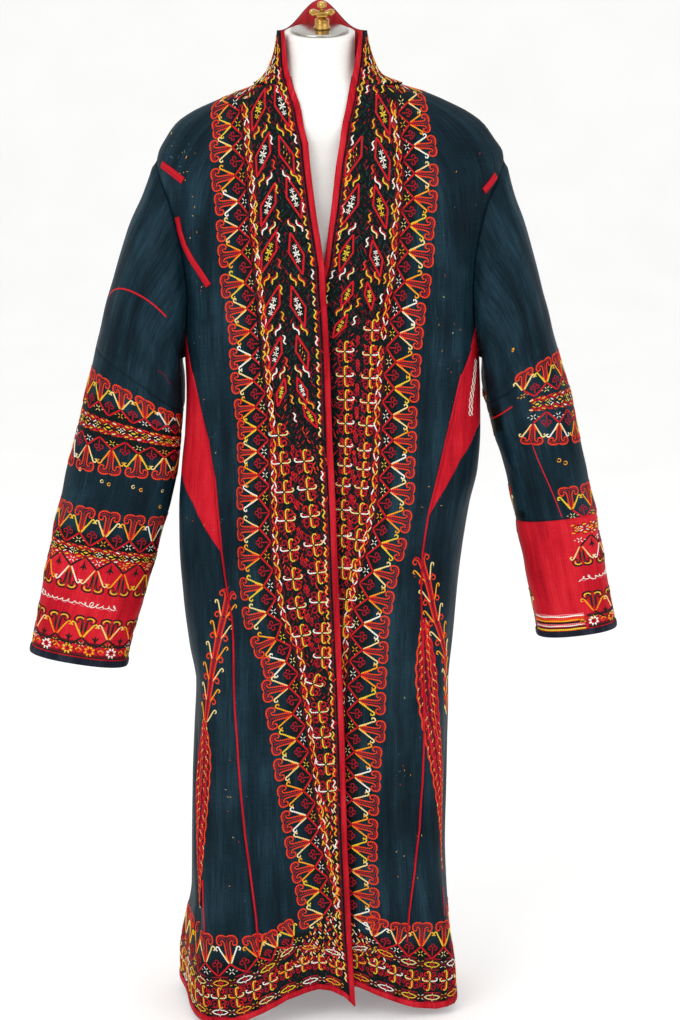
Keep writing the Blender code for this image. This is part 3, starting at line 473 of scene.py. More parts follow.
def sleeve(share, turn, side):
    share, turn = np.broadcast_arrays(np.asarray(share, float), np.asarray(turn, float))
    at = sleeve_ring(share, turn, side)
    centre = (sleeve_ring(share, turn, side) + sleeve_ring(share, turn + np.pi, side)) / 2
    lift = CLOTH * smooth(share / 0.05)  # the table's rings are the cloth's inside
    for share_0, turn_0, share_1, turn_1, rise, width in SLEEVE_FOLDS:
        t = np.clip((share - share_0) / (share_1 - share_0), 0, 1)
        off = (turn - np.radians(turn_0 + (turn_1 - turn_0) * t) + np.pi) % (2 * np.pi) - np.pi
        ends = smooth((share - share_0) / 0.08) * smooth((share_1 - share) / 0.08)
        lift += rise * ends * np.exp(-((off * 72 / width) ** 2))
    lift += sleeve_wrinkles(share, turn)
    outward = at - centre
    at = at + outward / np.linalg.norm(outward, axis=-1, keepdims=True) * lift[..., None]
    height, angle = loop_angles(np.degrees(turn), side)
    fit = coat(height, angle) - sleeve_ring(np.zeros_like(share), turn, side)
    at = at + fit * (1 - smooth(share / 0.22))[..., None]
    # Kept off the side of the coat, measured from the axis of its level section.
    middle = columns(BODY, at[..., 2])[4]
    off_x, off_y = at[..., 0], at[..., 1] - middle
    distance, around = np.hypot(off_x, off_y), np.arctan2(-off_x, -off_y)
    radius = section_radius(at[..., 2], around)
    radius = radius + soft_folds(at[..., 2], around, radius)
    start = smooth(share / 0.016)
    spare = distance - radius - CLEARANCE * start
    wanted = distance - spare + (spare + np.sqrt(spare**2 + (EASE * start) ** 2)) / 2
    grow = np.where(start > 0, wanted / distance, 1.0)
    return np.stack([off_x * grow, off_y * grow + middle, at[..., 2]], axis=-1)


def sleeve_normal(share, turn, side):
    e = 0.02
    low, high = np.clip(share - 0.004, 0, 1), np.clip(share + 0.004, 0, 1)
    down = sleeve(high, turn, side) - sleeve(low, turn, side)
    round_ = sleeve(share, turn + e, side) - sleeve(share, turn - e, side)
    n = np.cross(down, round_) * side
    return n / np.linalg.norm(n, axis=-1, keepdims=True)


# The rows of the sewn grid, from the hem to the collar's top: below the armholes, along their
# loops, and above them.
LOWER_ROWS = (HEM, HEM + BINDING, 62, 105, 150, 205, 265, 330, 395, 455, 505, 552, 600,
              GORE_TOP["right"], GORE_TOP["left"], 750, YAKA_END["right"], 845, 885)
LOOP_TURNS = np.arange(GUSSET_TURN, -1, -LOOP_STEP)
UPPER_ROWS = (1170, 1184, 1198, 1211, 1223, 1234, 1245, 1256, NECKLINE, 1281, 1296, 1310, COLLAR_TOP)
ROWS = np.concatenate([LOWER_ROWS, ARMHOLE_MIDDLE + ARMHOLE_HALF * np.cos(np.radians(LOOP_TURNS)),
                       UPPER_ROWS])
FIRST_LOOP, LAST_LOOP = len(LOWER_ROWS), len(LOWER_ROWS) + len(LOOP_TURNS) - 1
GORE_ROW = {name: LOWER_ROWS.index(top) for name, top in GORE_TOP.items()}
NECK_ROW = int(np.argmin(np.abs(ROWS - NECKLINE)))
TOP_ROW = len(ROWS) - 1
# Its columns run from the right front's free edge round the back to the left front's. These are
# the seams of the right front, of the back and of the left front, and the last column.
SEAM_RIGHT, BACK_RIGHT, BACK_LEFT, SEAM_LEFT, LAST = 10, 16, 30, 36, 46
GORE_COLUMNS = 6


def front_columns(edge, yaka, border, seam_angle, side):
    """Angles of a front's columns: its edge, its binding, three on the yaka, two to the border's line."""
    e, c, b = (angle_at_x(ROWS, v, True) for v in (edge, yaka, border))
    binding = e + side * BINDING / section_radius(ROWS, e)
    found = [e, binding] + [binding + (c - binding) * k / 3 for k in (1, 2, 3)]
    found += [c + (b - c) * k / 2 for k in (1, 2)] + [b + (seam_angle - b) * k / 4 for k in (1, 2, 3, 4)]
    return np.stack(found, axis=1)


def seam_angles(seam_x, side, on_front):
    """Angles of a seam, which follows the armhole's loop and then runs up to the shoulder."""
    found = angle_at_x(ROWS, seam_x, on_front)
    found[FIRST_LOOP:LAST_LOOP + 1] = loop_angles(LOOP_TURNS if on_front else -LOOP_TURNS, side)[1]
    found[LAST_LOOP:] = side * np.pi / 2
    return found


def coat_grid():
    """Heights and angles for every row and column of the sewn grid."""
    lines = columns(FRONTS, ROWS)
    height = np.repeat(ROWS[:, None], LAST + 1, axis=1)
    angle = np.zeros_like(height)
    right_front, right_back = seam_angles(lines[6], 1, True), seam_angles(lines[6], 1, False)
    left_front, left_back = seam_angles(lines[7], -1, True), seam_angles(lines[7], -1, False)
    share = np.arange(GORE_COLUMNS + 1) / GORE_COLUMNS
    angle[:, :SEAM_RIGHT + 1] = front_columns(*lines[[0, 2, 4]], right_front, 1)
    angle[:, SEAM_RIGHT:BACK_RIGHT + 1] = right_front[:, None] + (right_back - right_front)[:, None] * share
    across = (2 * np.pi + left_back) - right_back
    angle[:, BACK_RIGHT:BACK_LEFT + 1] = right_back[:, None] + across[:, None] * np.arange(15) / 14
    angle[:, BACK_LEFT:SEAM_LEFT + 1] = ((2 * np.pi + left_back)[:, None]
                                         + (left_front - left_back)[:, None] * share)
    angle[:, SEAM_LEFT:] = 2 * np.pi + front_columns(*lines[[1, 3, 5]], left_front, -1)[:, ::-1]
    # Between the seams the gore's top edge peaks, and the gusset fills up to the armhole.
    corner = (180 - GUSSET_TURN) * (1 - 2 * share)
    for name, start, side in (("right", SEAM_RIGHT, 1), ("left", BACK_LEFT, -1)):
        top, gore = GORE_TOP[name], slice(start, start + GORE_COLUMNS + 1)
        peak = top + (GORE_PEAK[name] - top) * (1 - np.abs(2 * share - 1) ** 2.4)
        armpit, armpit_angle = loop_angles(180 - corner, side)
        if side < 0:
            armpit_angle = 2 * np.pi + armpit_angle[::-1]
        for i, row in enumerate(ROWS[:FIRST_LOOP + 1]):
            if i <= GORE_ROW[name]:
                height[i, gore] = HEM + (peak - HEM) * ((row - HEM) / (top - HEM))
            else:
                height[i, gore] = peak + (armpit - peak) * ((row - top) / (ROWS[FIRST_LOOP] - top))
        angle[FIRST_LOOP, gore] = armpit_angle
    return height, angle


HEIGHT, ANGLE = coat_grid()


# Where the apexes of the fronts' borders and of the hem's stand, as (distance from the centre
# front, height).
APEXES = {
    "right": (
        (122, 1232), (115, 1206), (113, 1178), (109, 1143), (105, 1111), (105, 1077), (101, 1047), (97, 1008),
        (94, 975), (90, 946), (88, 913), (86, 882), (83, 848), (81, 820), (81, 790), (80, 759), (80, 729),
        (79, 688), (78, 650), (74, 610), (70, 573), (58, 537), (45, 506), (42, 471), (37, 433), (33, 396),
        (30, 360), (26, 323), (22, 287), (18, 251), (13, 215), (8, 182), (5, 146)),
    "left": (
        (116, 1235), (117, 1208), (122, 1180), (123, 1146), (122, 1115), (118, 1081), (116, 1047),
        (112, 1009), (107, 973), (103, 942), (99, 906), (97, 872), (95, 836), (96, 804), (93, 771),
        (92, 737), (87, 702), (80, 666), (70, 629), (64, 593), (58, 558), (57, 522), (55, 488), (53, 452),
        (53, 414), (48, 378), (47, 343), (44, 309), (42, 274), (41, 241), (41, 207), (41, 174), (40, 140)),
}
HEM_APEXES = {
    "right": ((49, 116), (74, 103), (100, 94), (139, 89), (177, 87), (214, 87)),
    "left": ((63, 110), (95, 101), (129, 97), (163, 93), (198, 89), (233, 87)),
}
SIGN = {"right": 1, "left": -1}
COAT_CHARTS = {"right": Chart(1), "left": Chart(-1)}
ARM_CHARTS = {"right": SleeveChart(1), "left": SleeveChart(-1)}
NECK_BORDER = 1252.0  # the border's level at the back, where it goes round the neck
EDGE, YAKA_LINE = 0, 2  # the right front's free edge and the collar's outer line, in the table of fronts


def pick(side, right, left):
    return right if side == "right" else left


def across_front(side, line, heights):
    """How far one of the fronts' lines is from the centre front, at each height."""
    x = columns(FRONTS, heights)[line + pick(side, 0, 1)]
    return COAT_CHARTS[side].away_at(angle_at_x(heights, x, True) * SIGN[side], heights)


def border_line(side, heights):
    """How far the apexes of a front's border are from the centre front, at each height."""
    apexes = np.array(APEXES[side], float)[::-1]
    return np.interp(heights, apexes[:, 1], apexes[:, 0])


def embroidered(side, away, height):
    """How closely the coat is stitched over at a place of one of its halves, from 0 to 1."""
    hem = np.array(HEM_APEXES[side], float)
    top = np.interp(away, hem[:, 0], hem[:, 1]) + 4.0
    front = smooth((border_line(side, height) + 5.0 - away) / 5.0 + 0.5)
    low = smooth((top - height) / 5.0 + 0.5)
    neck = smooth((height - NECK_BORDER - 2) / 4.0 + 0.5)
    return np.maximum(np.maximum(front, low), neck)


SLEEVE_BANDS = {"right": ((278.0, 343.0), (450.0, 500.0)), "left": ((240.0, 303.0), (438.0, 500.0))}


def embroidered_sleeve(side, shares, turns):
    """The same for a sleeve's rings, whose bands lie between two rows of apexes."""
    name = "right" if side > 0 else "left"
    down = shares[:, None] * SLEEVE_LENGTH
    found = np.zeros((len(shares), len(turns)))
    for start, stop in SLEEVE_BANDS[name]:
        found = np.maximum(found, smooth((down - start) / 5.0) * smooth((stop - down) / 5.0))
    if side < 0:  # nothing is stitched on the inner front of this sleeve
        bare = smooth((np.cos(turns - math.radians(66)) - 0.3) / 0.08)
        found = found * (1 - bare)
    return found


def material(name, colour, roughness=0.6, metallic=0.0, sheen=0.0):
    """A new material, with what is the same all over set on its shader."""
    made = bpy.data.materials.new(name)
    made.use_nodes = True
    tree = made.node_tree
    shader = tree.nodes["Principled BSDF"]
    shader.inputs["Base Color"].default_value = (*colour, 1.0)
    shader.inputs["Roughness"].default_value = roughness
    shader.inputs["Metallic"].default_value = metallic
    if metallic == 0.0:
        shader.inputs["Specular IOR Level"].default_value = 0.06
    if sheen:
        shader.inputs["Sheen Weight"].default_value = sheen
        shader.inputs["Sheen Roughness"].default_value = 0.4
    return made, tree, shader


def node(tree, kind, links=(), **values):
    """A node with its inputs set by name, and linked from other nodes' outputs."""
    made = tree.nodes.new(kind)
    for key, value in values.items():
        setattr(made, key, value)
    for socket, value in links:
        if isinstance(value, bpy.types.NodeSocket):
            tree.links.new(value, made.inputs[socket])
        else:
            made.inputs[socket].default_value = value
    return made


def ramp(tree, value, stops):
    made = node(tree, "ShaderNodeValToRGB", [("Fac", value)])
    band = made.color_ramp
    while len(band.elements) < len(stops):
        band.elements.new(0.5)
    for element, (at, colour) in zip(band.elements, stops):
        element.position, element.color = at, (*colour, 1.0)
    return made.outputs["Color"]


def stretched(tree, scale=(1.0, 1.0, 1.0), start="UV"):
    at = node(tree, "ShaderNodeTexCoord").outputs[start]
    return node(tree, "ShaderNodeMapping", [("Vector", at), ("Scale", scale)]).outputs["Vector"]


def noise(tree, across, along, detail=2.0, roughness=0.5):
    """Noise that is finer or coarser across the cloth than along it."""
    links = [("Vector", stretched(tree, (across, along, 1.0))), ("Scale", 1.0), ("Detail", detail),
             ("Roughness", roughness)]
    return node(tree, "ShaderNodeTexNoise", links).outputs["Fac"]


def chain_links(tree, across, along):
    """How far each place is from the middle of the nearest link of close chain stitch."""
    links = [("Vector", stretched(tree, (across, along, 1.0))), ("Scale", 1.0)]
    return node(tree, "ShaderNodeTexVoronoi", links).outputs["Distance"]


def maths(tree, operation, *values):
    return node(tree, "ShaderNodeMath", enumerate(values), operation=operation).outputs[0]


def coloured(tree, shader, colour):
    tree.links.new(colour, shader.inputs["Base Color"])


def roughened(tree, shader, value, *ends):
    """Lets the roughness follow the value between two ends, as socket names with numbers."""
    rough = node(tree, "ShaderNodeMapRange", [("Value", value), *ends])
    tree.links.new(rough.outputs[0], shader.inputs["Roughness"])


def raised(tree, shader, height, strength=0.5, distance=0.0005):
    bump = node(tree, "ShaderNodeBump", [("Height", height), ("Strength", strength), ("Distance", distance)])
    tree.links.new(bump.outputs["Normal"], shader.inputs["Normal"])


def slub_silk(name, dark, middle, light, roughness=0.5, worked=None):
    """Hand-loomed silk: streaks along its warp, slubs across it, a fine plain weave, and soft folds, given as
    bump and as painted shade and painted highlight in its colour.

    Worked is two tones of the close dark stitches where the cloth is embroidered: the dark one at the edges
    of each link, as painted shade, and the lighter one at its middle, as a painted highlight.
    """
    made, tree, shader = material(name, middle, roughness)
    streaks, slubs = noise(tree, 900.0, 22.0, 3.0, 0.6), noise(tree, 60.0, 900.0)
    # The broad noise and the narrow folds noise stand for soft folds: they raise the bump, and they paint
    # fold shade and fold highlight into the colour.
    broad_painted_fold_shade, folds = noise(tree, 14.0, 9.0, 3.0), noise(tree, 70.0, 4.0, 3.0)
    total = maths(tree, "MULTIPLY_ADD", slubs, 0.4, streaks)
    total = maths(tree, "ADD", maths(tree, "ADD", total, broad_painted_fold_shade), folds)
    height = maths(tree, "MULTIPLY", total, 1 / 3.4)
    colour = ramp(tree, height, [(0.4, dark), (0.5, middle), (0.61, light)])
    roughened(tree, shader, height, ("From Min", 0.35), ("From Max", 0.65), ("To Min", roughness + 0.1),
              ("To Max", roughness - 0.1))
    if worked:
        cover = node(tree, "ShaderNodeAttribute", attribute_name="worked").outputs["Fac"]
        # Each link is painted lighter at its middle and darker at its edges: painted highlight and painted
        # shade.
        links = chain_links(tree, 560.0, 380.0)
        ground = ramp(tree, links, [(0.1, worked[1]), (0.7, worked[0])])
        colour = node(tree, "ShaderNodeMix", [("Factor", cover), (6, colour), (7, ground)],
                      data_type="RGBA").outputs[2]
        height = maths(tree, "SUBTRACT", height, maths(tree, "MULTIPLY", cover, links))
    coloured(tree, shader, colour)
    raised(tree, shader, height)
    return made


def stitched_ground(name, dark, light):
    """Ground that rows of dark chain stitch cover all over, each link with a painted highlight at its middle
    and painted shade at its edges.
    """
    made, tree, shader = material(name, dark, 0.7)
    wavy = [("Vector", stretched(tree)), ("Scale", 170.0), ("Distortion", 5.0), ("Detail", 2.0),
            ("Detail Scale", 0.6)]
    rows = node(tree, "ShaderNodeTexWave", wavy, bands_direction="X")
    links = chain_links(tree, 640.0, 420.0)
    # Light is the painted highlight of each link's middle; dark is the stitch's own colour, with painted
    # shade at the link edges.
    coloured(tree, shader, ramp(tree, links, [(0.1, light), (0.75, dark)]))
    raised(tree, shader, maths(tree, "SUBTRACT", rows.outputs["Fac"], links), 0.6, 0.0006)
    return made


def thread(name, colour):
    """Silk floss in chain stitch: each link has painted shade where it is drawn through and a painted
    highlight on its crest.
    """
    # Light and dark are lit and shaded copies of the floss's colour: a painted highlight and painted shade.
    light = tuple(min(1.0, c * 1.25 + 0.01) for c in colour)
    dark = tuple(c * 0.45 for c in colour)
    made, tree, shader = material(name, colour, 0.55)
    links = [("Vector", stretched(tree)), ("Scale", 118.0), ("Distortion", 1.2), ("Detail", 1.0)]
    wave = node(tree, "ShaderNodeTexWave", links, bands_direction="X", wave_profile="SIN").outputs["Fac"]
    halved = maths(tree, "MULTIPLY", maths(tree, "ADD", wave, noise(tree, 150.0, 1600.0)), 0.5)
    coloured(tree, shader, ramp(tree, halved, [(0.12, dark), (0.42, colour), (0.8, light)]))
    raised(tree, shader, halved)
    return made


def plain(name, dark, light, roughness, metallic=0.0, scale=60.0, spread=0.12, bump_by=0.0, sheen=0.0):
    """A surface of one colour, a little uneven."""
    made, tree, shader = material(name, light, roughness, metallic, sheen)
    links = [("Vector", stretched(tree, start="Object")), ("Scale", scale), ("Detail", 5.0)]
    uneven = node(tree, "ShaderNodeTexNoise", links).outputs["Fac"]
    coloured(tree, shader, ramp(tree, uneven, [(0.3, dark), (0.7, light)]))
    roughened(tree, shader, uneven, ("To Min", roughness - spread), ("To Max", roughness + spread))
    if bump_by:
        raised(tree, shader, uneven, bump_by)
    return made


def rgb(r, g, b):
    """A colour as the eye reads it off a screen, in linear light."""
    return tuple(((c / 255 + 0.055) / 1.055) ** 2.4 if c > 10 else c / 3294.6 for c in (r, g, b))


# Each silk's tones below span its warp streaks and slubs and the painted shade and painted highlight of its
# soft folds. The silk cloth's last two tones are its worked stitch: painted shade at link edges and a painted
# highlight at link middles.
SILK_CLOTH = slub_silk("silk_cloth", rgb(7, 20, 28), rgb(15, 35, 45), rgb(32, 58, 70), 0.55,
                       (rgb(7, 14, 15), rgb(24, 33, 32)))
RED_CLOTH = slub_silk("red_cloth", rgb(152, 12, 28), rgb(192, 22, 38), rgb(210, 44, 54), 0.55)
RED_TRIM = slub_silk("red_trim", rgb(128, 10, 22), rgb(178, 18, 34), rgb(204, 44, 54), 0.55)
DARK_TRIM = slub_silk("dark_trim", rgb(16, 18, 26), rgb(28, 32, 44), rgb(50, 54, 66), 0.6)
LINING_CLOTH = slub_silk("lining_cloth", rgb(140, 30, 36), rgb(170, 44, 48), rgb(190, 70, 66), 0.75)
EMBROIDERED_CLOTH = stitched_ground("embroidered_ground", rgb(8, 14, 16), rgb(26, 34, 34))
JERSEY = plain("white_jersey", rgb(236, 234, 229), rgb(248, 247, 243), 0.85, scale=900.0, bump_by=0.25,
               sheen=0.1)
CHROME = plain("cap_metal", rgb(150, 146, 140), rgb(196, 192, 186), 0.2, 1.0, scale=40.0, spread=0.05)
BRASS_METAL = plain("brass_metal", rgb(172, 130, 62), rgb(214, 172, 96), 0.24, 1.0, scale=90.0, spread=0.06)
PAINT = plain("base_paint", rgb(206, 204, 198), rgb(222, 220, 215), 0.5, scale=80.0, bump_by=0.1)


def between(values, rows, cols):
    """A table's values at fractional rows and columns."""
    i = np.minimum(rows.astype(int), values.shape[0] - 2)
    j = np.minimum(cols.astype(int), values.shape[1] - 2)
    s, t = (rows - i)[:, None], (cols - j)[None]
    a, b = values[i][:, j], values[i][:, j + 1]
    c, d = values[i + 1][:, j], values[i + 1][:, j + 1]
    return (a * (1 - t) + b * t) * (1 - s) + (c * (1 - t) + d * t) * s


ROW_STEP = 6.5  # how far apart the fine coat's rows are at most
ROW_PARTS = np.ceil(np.diff(ROWS) / ROW_STEP).astype(int)
ROW_AT = np.concatenate([k + np.arange(n) / n for k, n in enumerate(ROW_PARTS)] + [[ROWS.size - 1]])
COL_AT = np.arange(LAST * FINE + 1) / FINE
FINE_HEIGHT, FINE_ANGLE = between(HEIGHT, ROW_AT, COL_AT), between(ANGLE, ROW_AT, COL_AT)
FINE_UNDER = np.where(COL_AT >= SEAM_LEFT, underlap(FINE_HEIGHT, FINE_ANGLE), 0.0)
FINE_AT = coat(FINE_HEIGHT, FINE_ANGLE, FINE_UNDER)
FINE_OUT = coat_normal(FINE_HEIGHT, FINE_ANGLE, FINE_UNDER)
SHIFT = np.array([MIDDLE_X, MIDDLE_Y, FLOOR])
def into_scene(name, data):
    made = bpy.data.objects.new(name, data)
    bpy.context.scene.collection.objects.link(made)
    return made


def solid(name, points, faces, item, shift=SHIFT, scale=0.001):
    """A smooth piece of one material, from points and faces of any number of corners."""
    mesh = bpy.data.meshes.new(name)
    mesh.from_pydata(((points - shift) * scale).tolist(), [], faces)
    mesh.polygons.foreach_set("use_smooth", np.ones(len(faces), bool))
    mesh.materials.append(item)
    return into_scene(name, mesh)


def add_mesh(name, points, faces, uv, materials, which, worked=None):
    """A piece from points and a map in millimetres, the map on points or on corners of faces.

    Which is each face's material, and worked how closely each point is covered with stitches.
    """
    mesh = bpy.data.meshes.new(name)
    points = (np.asarray(points, float) - SHIFT) * 0.001
    faces = np.asarray(faces, np.int32)
    count, corners = faces.shape
    mesh.vertices.add(len(points))
    mesh.vertices.foreach_set("co", points.astype(np.float32).ravel())
    mesh.loops.add(count * corners)
    mesh.loops.foreach_set("vertex_index", faces.ravel())
    mesh.polygons.add(count)
    mesh.polygons.foreach_set("loop_start", np.arange(count, dtype=np.int32) * corners)
    for item in materials:
        mesh.materials.append(item)
    mesh.polygons.foreach_set("material_index", np.asarray(which, np.int32))
    mesh.polygons.foreach_set("use_smooth", np.ones(count, bool))
    uv = uv if uv.ndim == 3 else uv[faces.ravel()]
    mesh.uv_layers.new(name="UVMap").data.foreach_set("uv", (uv * 0.001).astype(np.float32).ravel())
    if worked is not None:
        share = mesh.attributes.new("worked", "FLOAT", "POINT")
        share.data.foreach_set("value", np.asarray(worked, np.float32))
    mesh.update()
    return into_scene(name, mesh)


def wall(name, at, out, uv, cells, inner, outer, materials, trim=GAP / 2, worked=None):
    """A closed wall over the chosen cells, with its outer face, its lining and its turned edge."""
    rows, cols = np.nonzero(cells)
    width = at.shape[1]
    first = rows * width + cols
    quads = np.stack([first, first + 1, first + width + 1, first + width], axis=1)
    used, flat = np.unique(quads, return_inverse=True)
    quads = flat.reshape(quads.shape)
    edges = np.concatenate([quads[:, [k, (k + 1) % 4]] for k in range(4)])
    keys = edges[:, 0].astype(np.int64) * len(used) + edges[:, 1]
    back = edges[:, 1].astype(np.int64) * len(used) + edges[:, 0]
    rim = edges[~np.isin(keys, back)]
    outer = np.broadcast_to(outer, at.shape[:2]).reshape(-1)[used]
    at, out, uv = at.reshape(-1, 3)[used], out.reshape(-1, 3)[used], uv.reshape(-1, 2)[used]
    inward = np.cross(at[rim[:, 1]] - at[rim[:, 0]], out[rim[:, 0]] + out[rim[:, 1]])
    inward /= np.linalg.norm(inward, axis=1, keepdims=True) + 1e-9
    pull = np.zeros_like(at)
    np.add.at(pull, rim[:, 0], inward)
    np.add.at(pull, rim[:, 1], inward)
    size = np.linalg.norm(pull, axis=1, keepdims=True)
    at = at + pull * trim * 2 / np.maximum(size, 0.8) ** 2
    count = len(used)
    points = np.concatenate([at + out * outer[:, None], at + out * inner])
    sides = np.stack([rim[:, 1], rim[:, 0], rim[:, 0] + count, rim[:, 1] + count], axis=1)
    faces, which = walled(quads, sides, count, materials)
    if worked is not None:
        worked = np.tile(worked.reshape(-1)[used], 2)
    return add_mesh(name, points, faces, np.concatenate([uv, uv]), materials, which, worked)


def walled(quads, sides, count, materials):
    """A wall's faces with each one's material: the outer ones, the inner ones and its edge."""
    faces = np.concatenate([quads, quads[:, ::-1] + count, sides])
    return faces, np.repeat([0, len(materials) - 1, 0], [len(quads), len(quads), len(sides)])


def cells_of(rows, cols, count=LAST * FINE):
    """Cells of the fine coat between rows and columns of the sewn one."""
    cells = np.zeros((len(ROW_AT) - 1, count), bool)
    low, high = np.searchsorted(ROW_AT, rows)
    cells[low:high, cols[0] * FINE:cols[1] * FINE] = True
    return cells


COAT_MAP = np.stack([FINE_ANGLE * 150.0, FINE_HEIGHT], axis=-1)  # the silk's warp runs straight up and down
AROUND = np.r_[0:SEAM_RIGHT * FINE + 1, BACK_RIGHT * FINE + 1:BACK_LEFT * FINE + 1,
               SEAM_LEFT * FINE + 1:LAST * FINE + 1]  # the columns that go on above the shoulders
TABS = 4  # the collar's ends lie between a front's first column and this one
TAB_SLANT = 0.75  # rows that a collar's end rises from one column to the next


def worked_coat():
    """Where the coat's own silk lies under the embroidered borders of the fronts, the neck and the hem."""
    share = np.zeros(FINE_AT.shape[:2])
    for side, chart in COAT_CHARTS.items():
        over = FINE_ANGLE > math.pi
        angle = np.where(over, 2 * math.pi - FINE_ANGLE, FINE_ANGLE) if side == "left" else FINE_ANGLE
        away = chart.away_at(angle.ravel(), FINE_HEIGHT.ravel()).reshape(angle.shape)
        share = np.where(over == (side == "left"), embroidered(side, away, FINE_HEIGHT), share)
    return share


def coat_piece(name, kind, slot, rows, cols, inner, outer, materials, **more):
    """A piece of the coat between rows and columns of the sewn grid."""
    cells = cells_of(rows, cols)
    made = wall(f"{name}_{kind}", FINE_AT, FINE_OUT, COAT_MAP, cells, inner, outer, materials, **more)
    piece(made, name)


def make_panels():
    """The fronts, the back, and on each side a gore with its gusset."""
    worked = worked_coat()
    silk, red = [SILK_CLOTH, LINING_CLOTH], [RED_CLOTH, LINING_CLOTH]
    for name, cols in (("front_right", (0, SEAM_RIGHT)), ("front_left", (SEAM_LEFT, LAST)),
                       ("back", (BACK_RIGHT, BACK_LEFT))):
        coat_piece(name, "cloth", "blue_silk", (0, NECK_ROW), cols, -CLOTH, 0, silk, worked=worked)
    for name, start in (("right", SEAM_RIGHT), ("left", BACK_LEFT)):
        cols, top = (start, start + GORE_COLUMNS), GORE_ROW[name]
        coat_piece(f"gore_{name}", "cloth", "blue_silk", (0, top), cols, -CLOTH, 0, silk, worked=worked)
        coat_piece(f"gusset_{name}", "cloth", "red_silk", (top, FIRST_LOOP), cols, -CLOTH, 0, red)


def slid_ends(at):
    """The collar's grid with its two tabs slid along the fronts, so that their slanting ends are straight."""
    at = at.copy()
    tab = np.arange(FINE, TABS * FINE + 1)
    for tab_columns, end in ((tab, YAKA_END["right"]), (at.shape[1] - 1 - tab, YAKA_END["left"])):
        first = float(np.argmin(np.abs(ROWS - end)))
        for k, column in enumerate(tab_columns):
            aim = first + k / FINE * TAB_SLANT  # where the slanting end crosses this column
            low = int(np.searchsorted(ROW_AT, aim))
            at[low, column] = [np.interp(aim, ROW_AT, at[:, column, n]) for n in range(3)]
    return at


def make_collar():
    """The yaka lies on both fronts and stands round the neck above the neckline."""
    at, out, uv = FINE_AT[:, AROUND], FINE_OUT[:, AROUND], COAT_MAP[:, AROUND]
    count = len(AROUND) - 1
    cells = cells_of((NECK_ROW - 1, TOP_ROW), (1, count // FINE - 1), count)
    high = np.searchsorted(ROW_AT, TOP_ROW)
    from_right, from_left = np.arange(count) / FINE, (count - 1 - np.arange(count)) / FINE
    for end, column in ((YAKA_END["right"], from_right), (YAKA_END["left"], from_left)):
        first = float(np.argmin(np.abs(ROWS - end)))
        slanted = ROW_AT[:-1, None] >= first + np.maximum(column - 1, 0) * TAB_SLANT
        cells |= slanted & (column >= 1) & (column < TABS)
    cells[high:] = False
    made = wall("collar_cloth", slid_ends(at), out, uv, cells, GAP, GAP + CLOTH,
                [EMBROIDERED_CLOTH, LINING_CLOTH])
    piece(made, "collar")
    back = cells_of((NECK_ROW, TOP_ROW), (SEAM_RIGHT, count // FINE - SEAM_RIGHT), count)
    piece(wall("collar_lining_cloth", at, out, uv, back, -TRIM, 0, [LINING_CLOTH]), "collar_lining")


def bulge(count):
    """How much a folded strip stands out, from one of its edges to the other."""
    return 0.9 * (1 - np.linspace(-1, 1, count) ** 2) - 0.3


def make_trims():
    """The red bindings of the free edges, rounded like a folded strip."""
    at, out, uv = FINE_AT[:, AROUND], FINE_OUT[:, AROUND], COAT_MAP[:, AROUND]
    count = len(AROUND) - 1
    for name, column in (("right", 0), ("left", count - FINE)):
        cells = np.zeros((len(ROW_AT) - 1, count), bool)
        cells[:, column:column + FINE] = True
        lift = np.full(at.shape[:2], GAP + TRIM)
        lift[:, column:column + FINE + 1] += bulge(FINE + 1)
        piece(wall(f"front_binding_{name}_strip", at, out, uv, cells, GAP, lift, [RED_TRIM], trim=GAP),
              f"front_binding_{name}")
    rows = int(np.searchsorted(ROW_AT, 1)) + 1
    lift = np.full(FINE_AT.shape[:2], GAP + TRIM)
    lift[:rows] += bulge(rows)[:, None]
    for name, cols in (("right", (1, BACK_RIGHT)), ("back", (BACK_RIGHT, BACK_LEFT)),
                       ("left", (BACK_LEFT, LAST - 1))):
        coat_piece(f"hem_binding_{name}", "strip", "red_silk", (0, 1), cols, GAP, lift, [RED_TRIM])


def make_pipings():
    """Thin red cords sewn into the seams between each front and its gore and gusset."""
    low, high = np.searchsorted(ROW_AT, (3, FIRST_LOOP - 1))
    rows = slice(low, high + 1)
    across = np.array([0.3, 1.0, 1.8, 2.4, 3.0])
    for name, seam, first in (("right", SEAM_RIGHT, 1), ("left", SEAM_LEFT, -1)):
        line, out = FINE_AT[rows, seam * FINE], FINE_OUT[rows, seam * FINE]
        way = FINE_AT[rows, seam * FINE - first] - line
        way /= np.linalg.norm(way, axis=1, keepdims=True)
        at = line[:, None] + way[:, None] * across[:, None]
        outs = np.repeat(out[:, None], len(across), axis=1)
        lift = np.broadcast_to(GAP + np.array([0.5, 1.2, 1.45, 1.2, 0.5]), at.shape[:2])
        strip(f"seam_piping_{name}", "cord", at, outs, across, lift)


def strip(name, kind, at, out, across, lift):
    """A narrow red strip from rows of points across it, rounded by how far each is lifted."""
    uv = np.stack([np.broadcast_to(across, at.shape[:2]), at[..., 2]], axis=-1)
    cells = np.ones((at.shape[0] - 1, at.shape[1] - 1), bool)
    piece(wall(f"{name}_{kind}", at, out, uv, cells, GAP * 0.5, lift, [RED_TRIM], trim=0.0), name)


def ring_faces(rows, ring):
    """The faces between rows of points that go round a ring."""
    i, j = np.meshgrid(np.arange(rows - 1), np.arange(ring), indexing="ij")
    n, i = (j + 1) % ring, i * ring
    return np.stack([i + j, i + ring + j, i + ring + n, i + n], axis=-1).reshape(-1, 4)


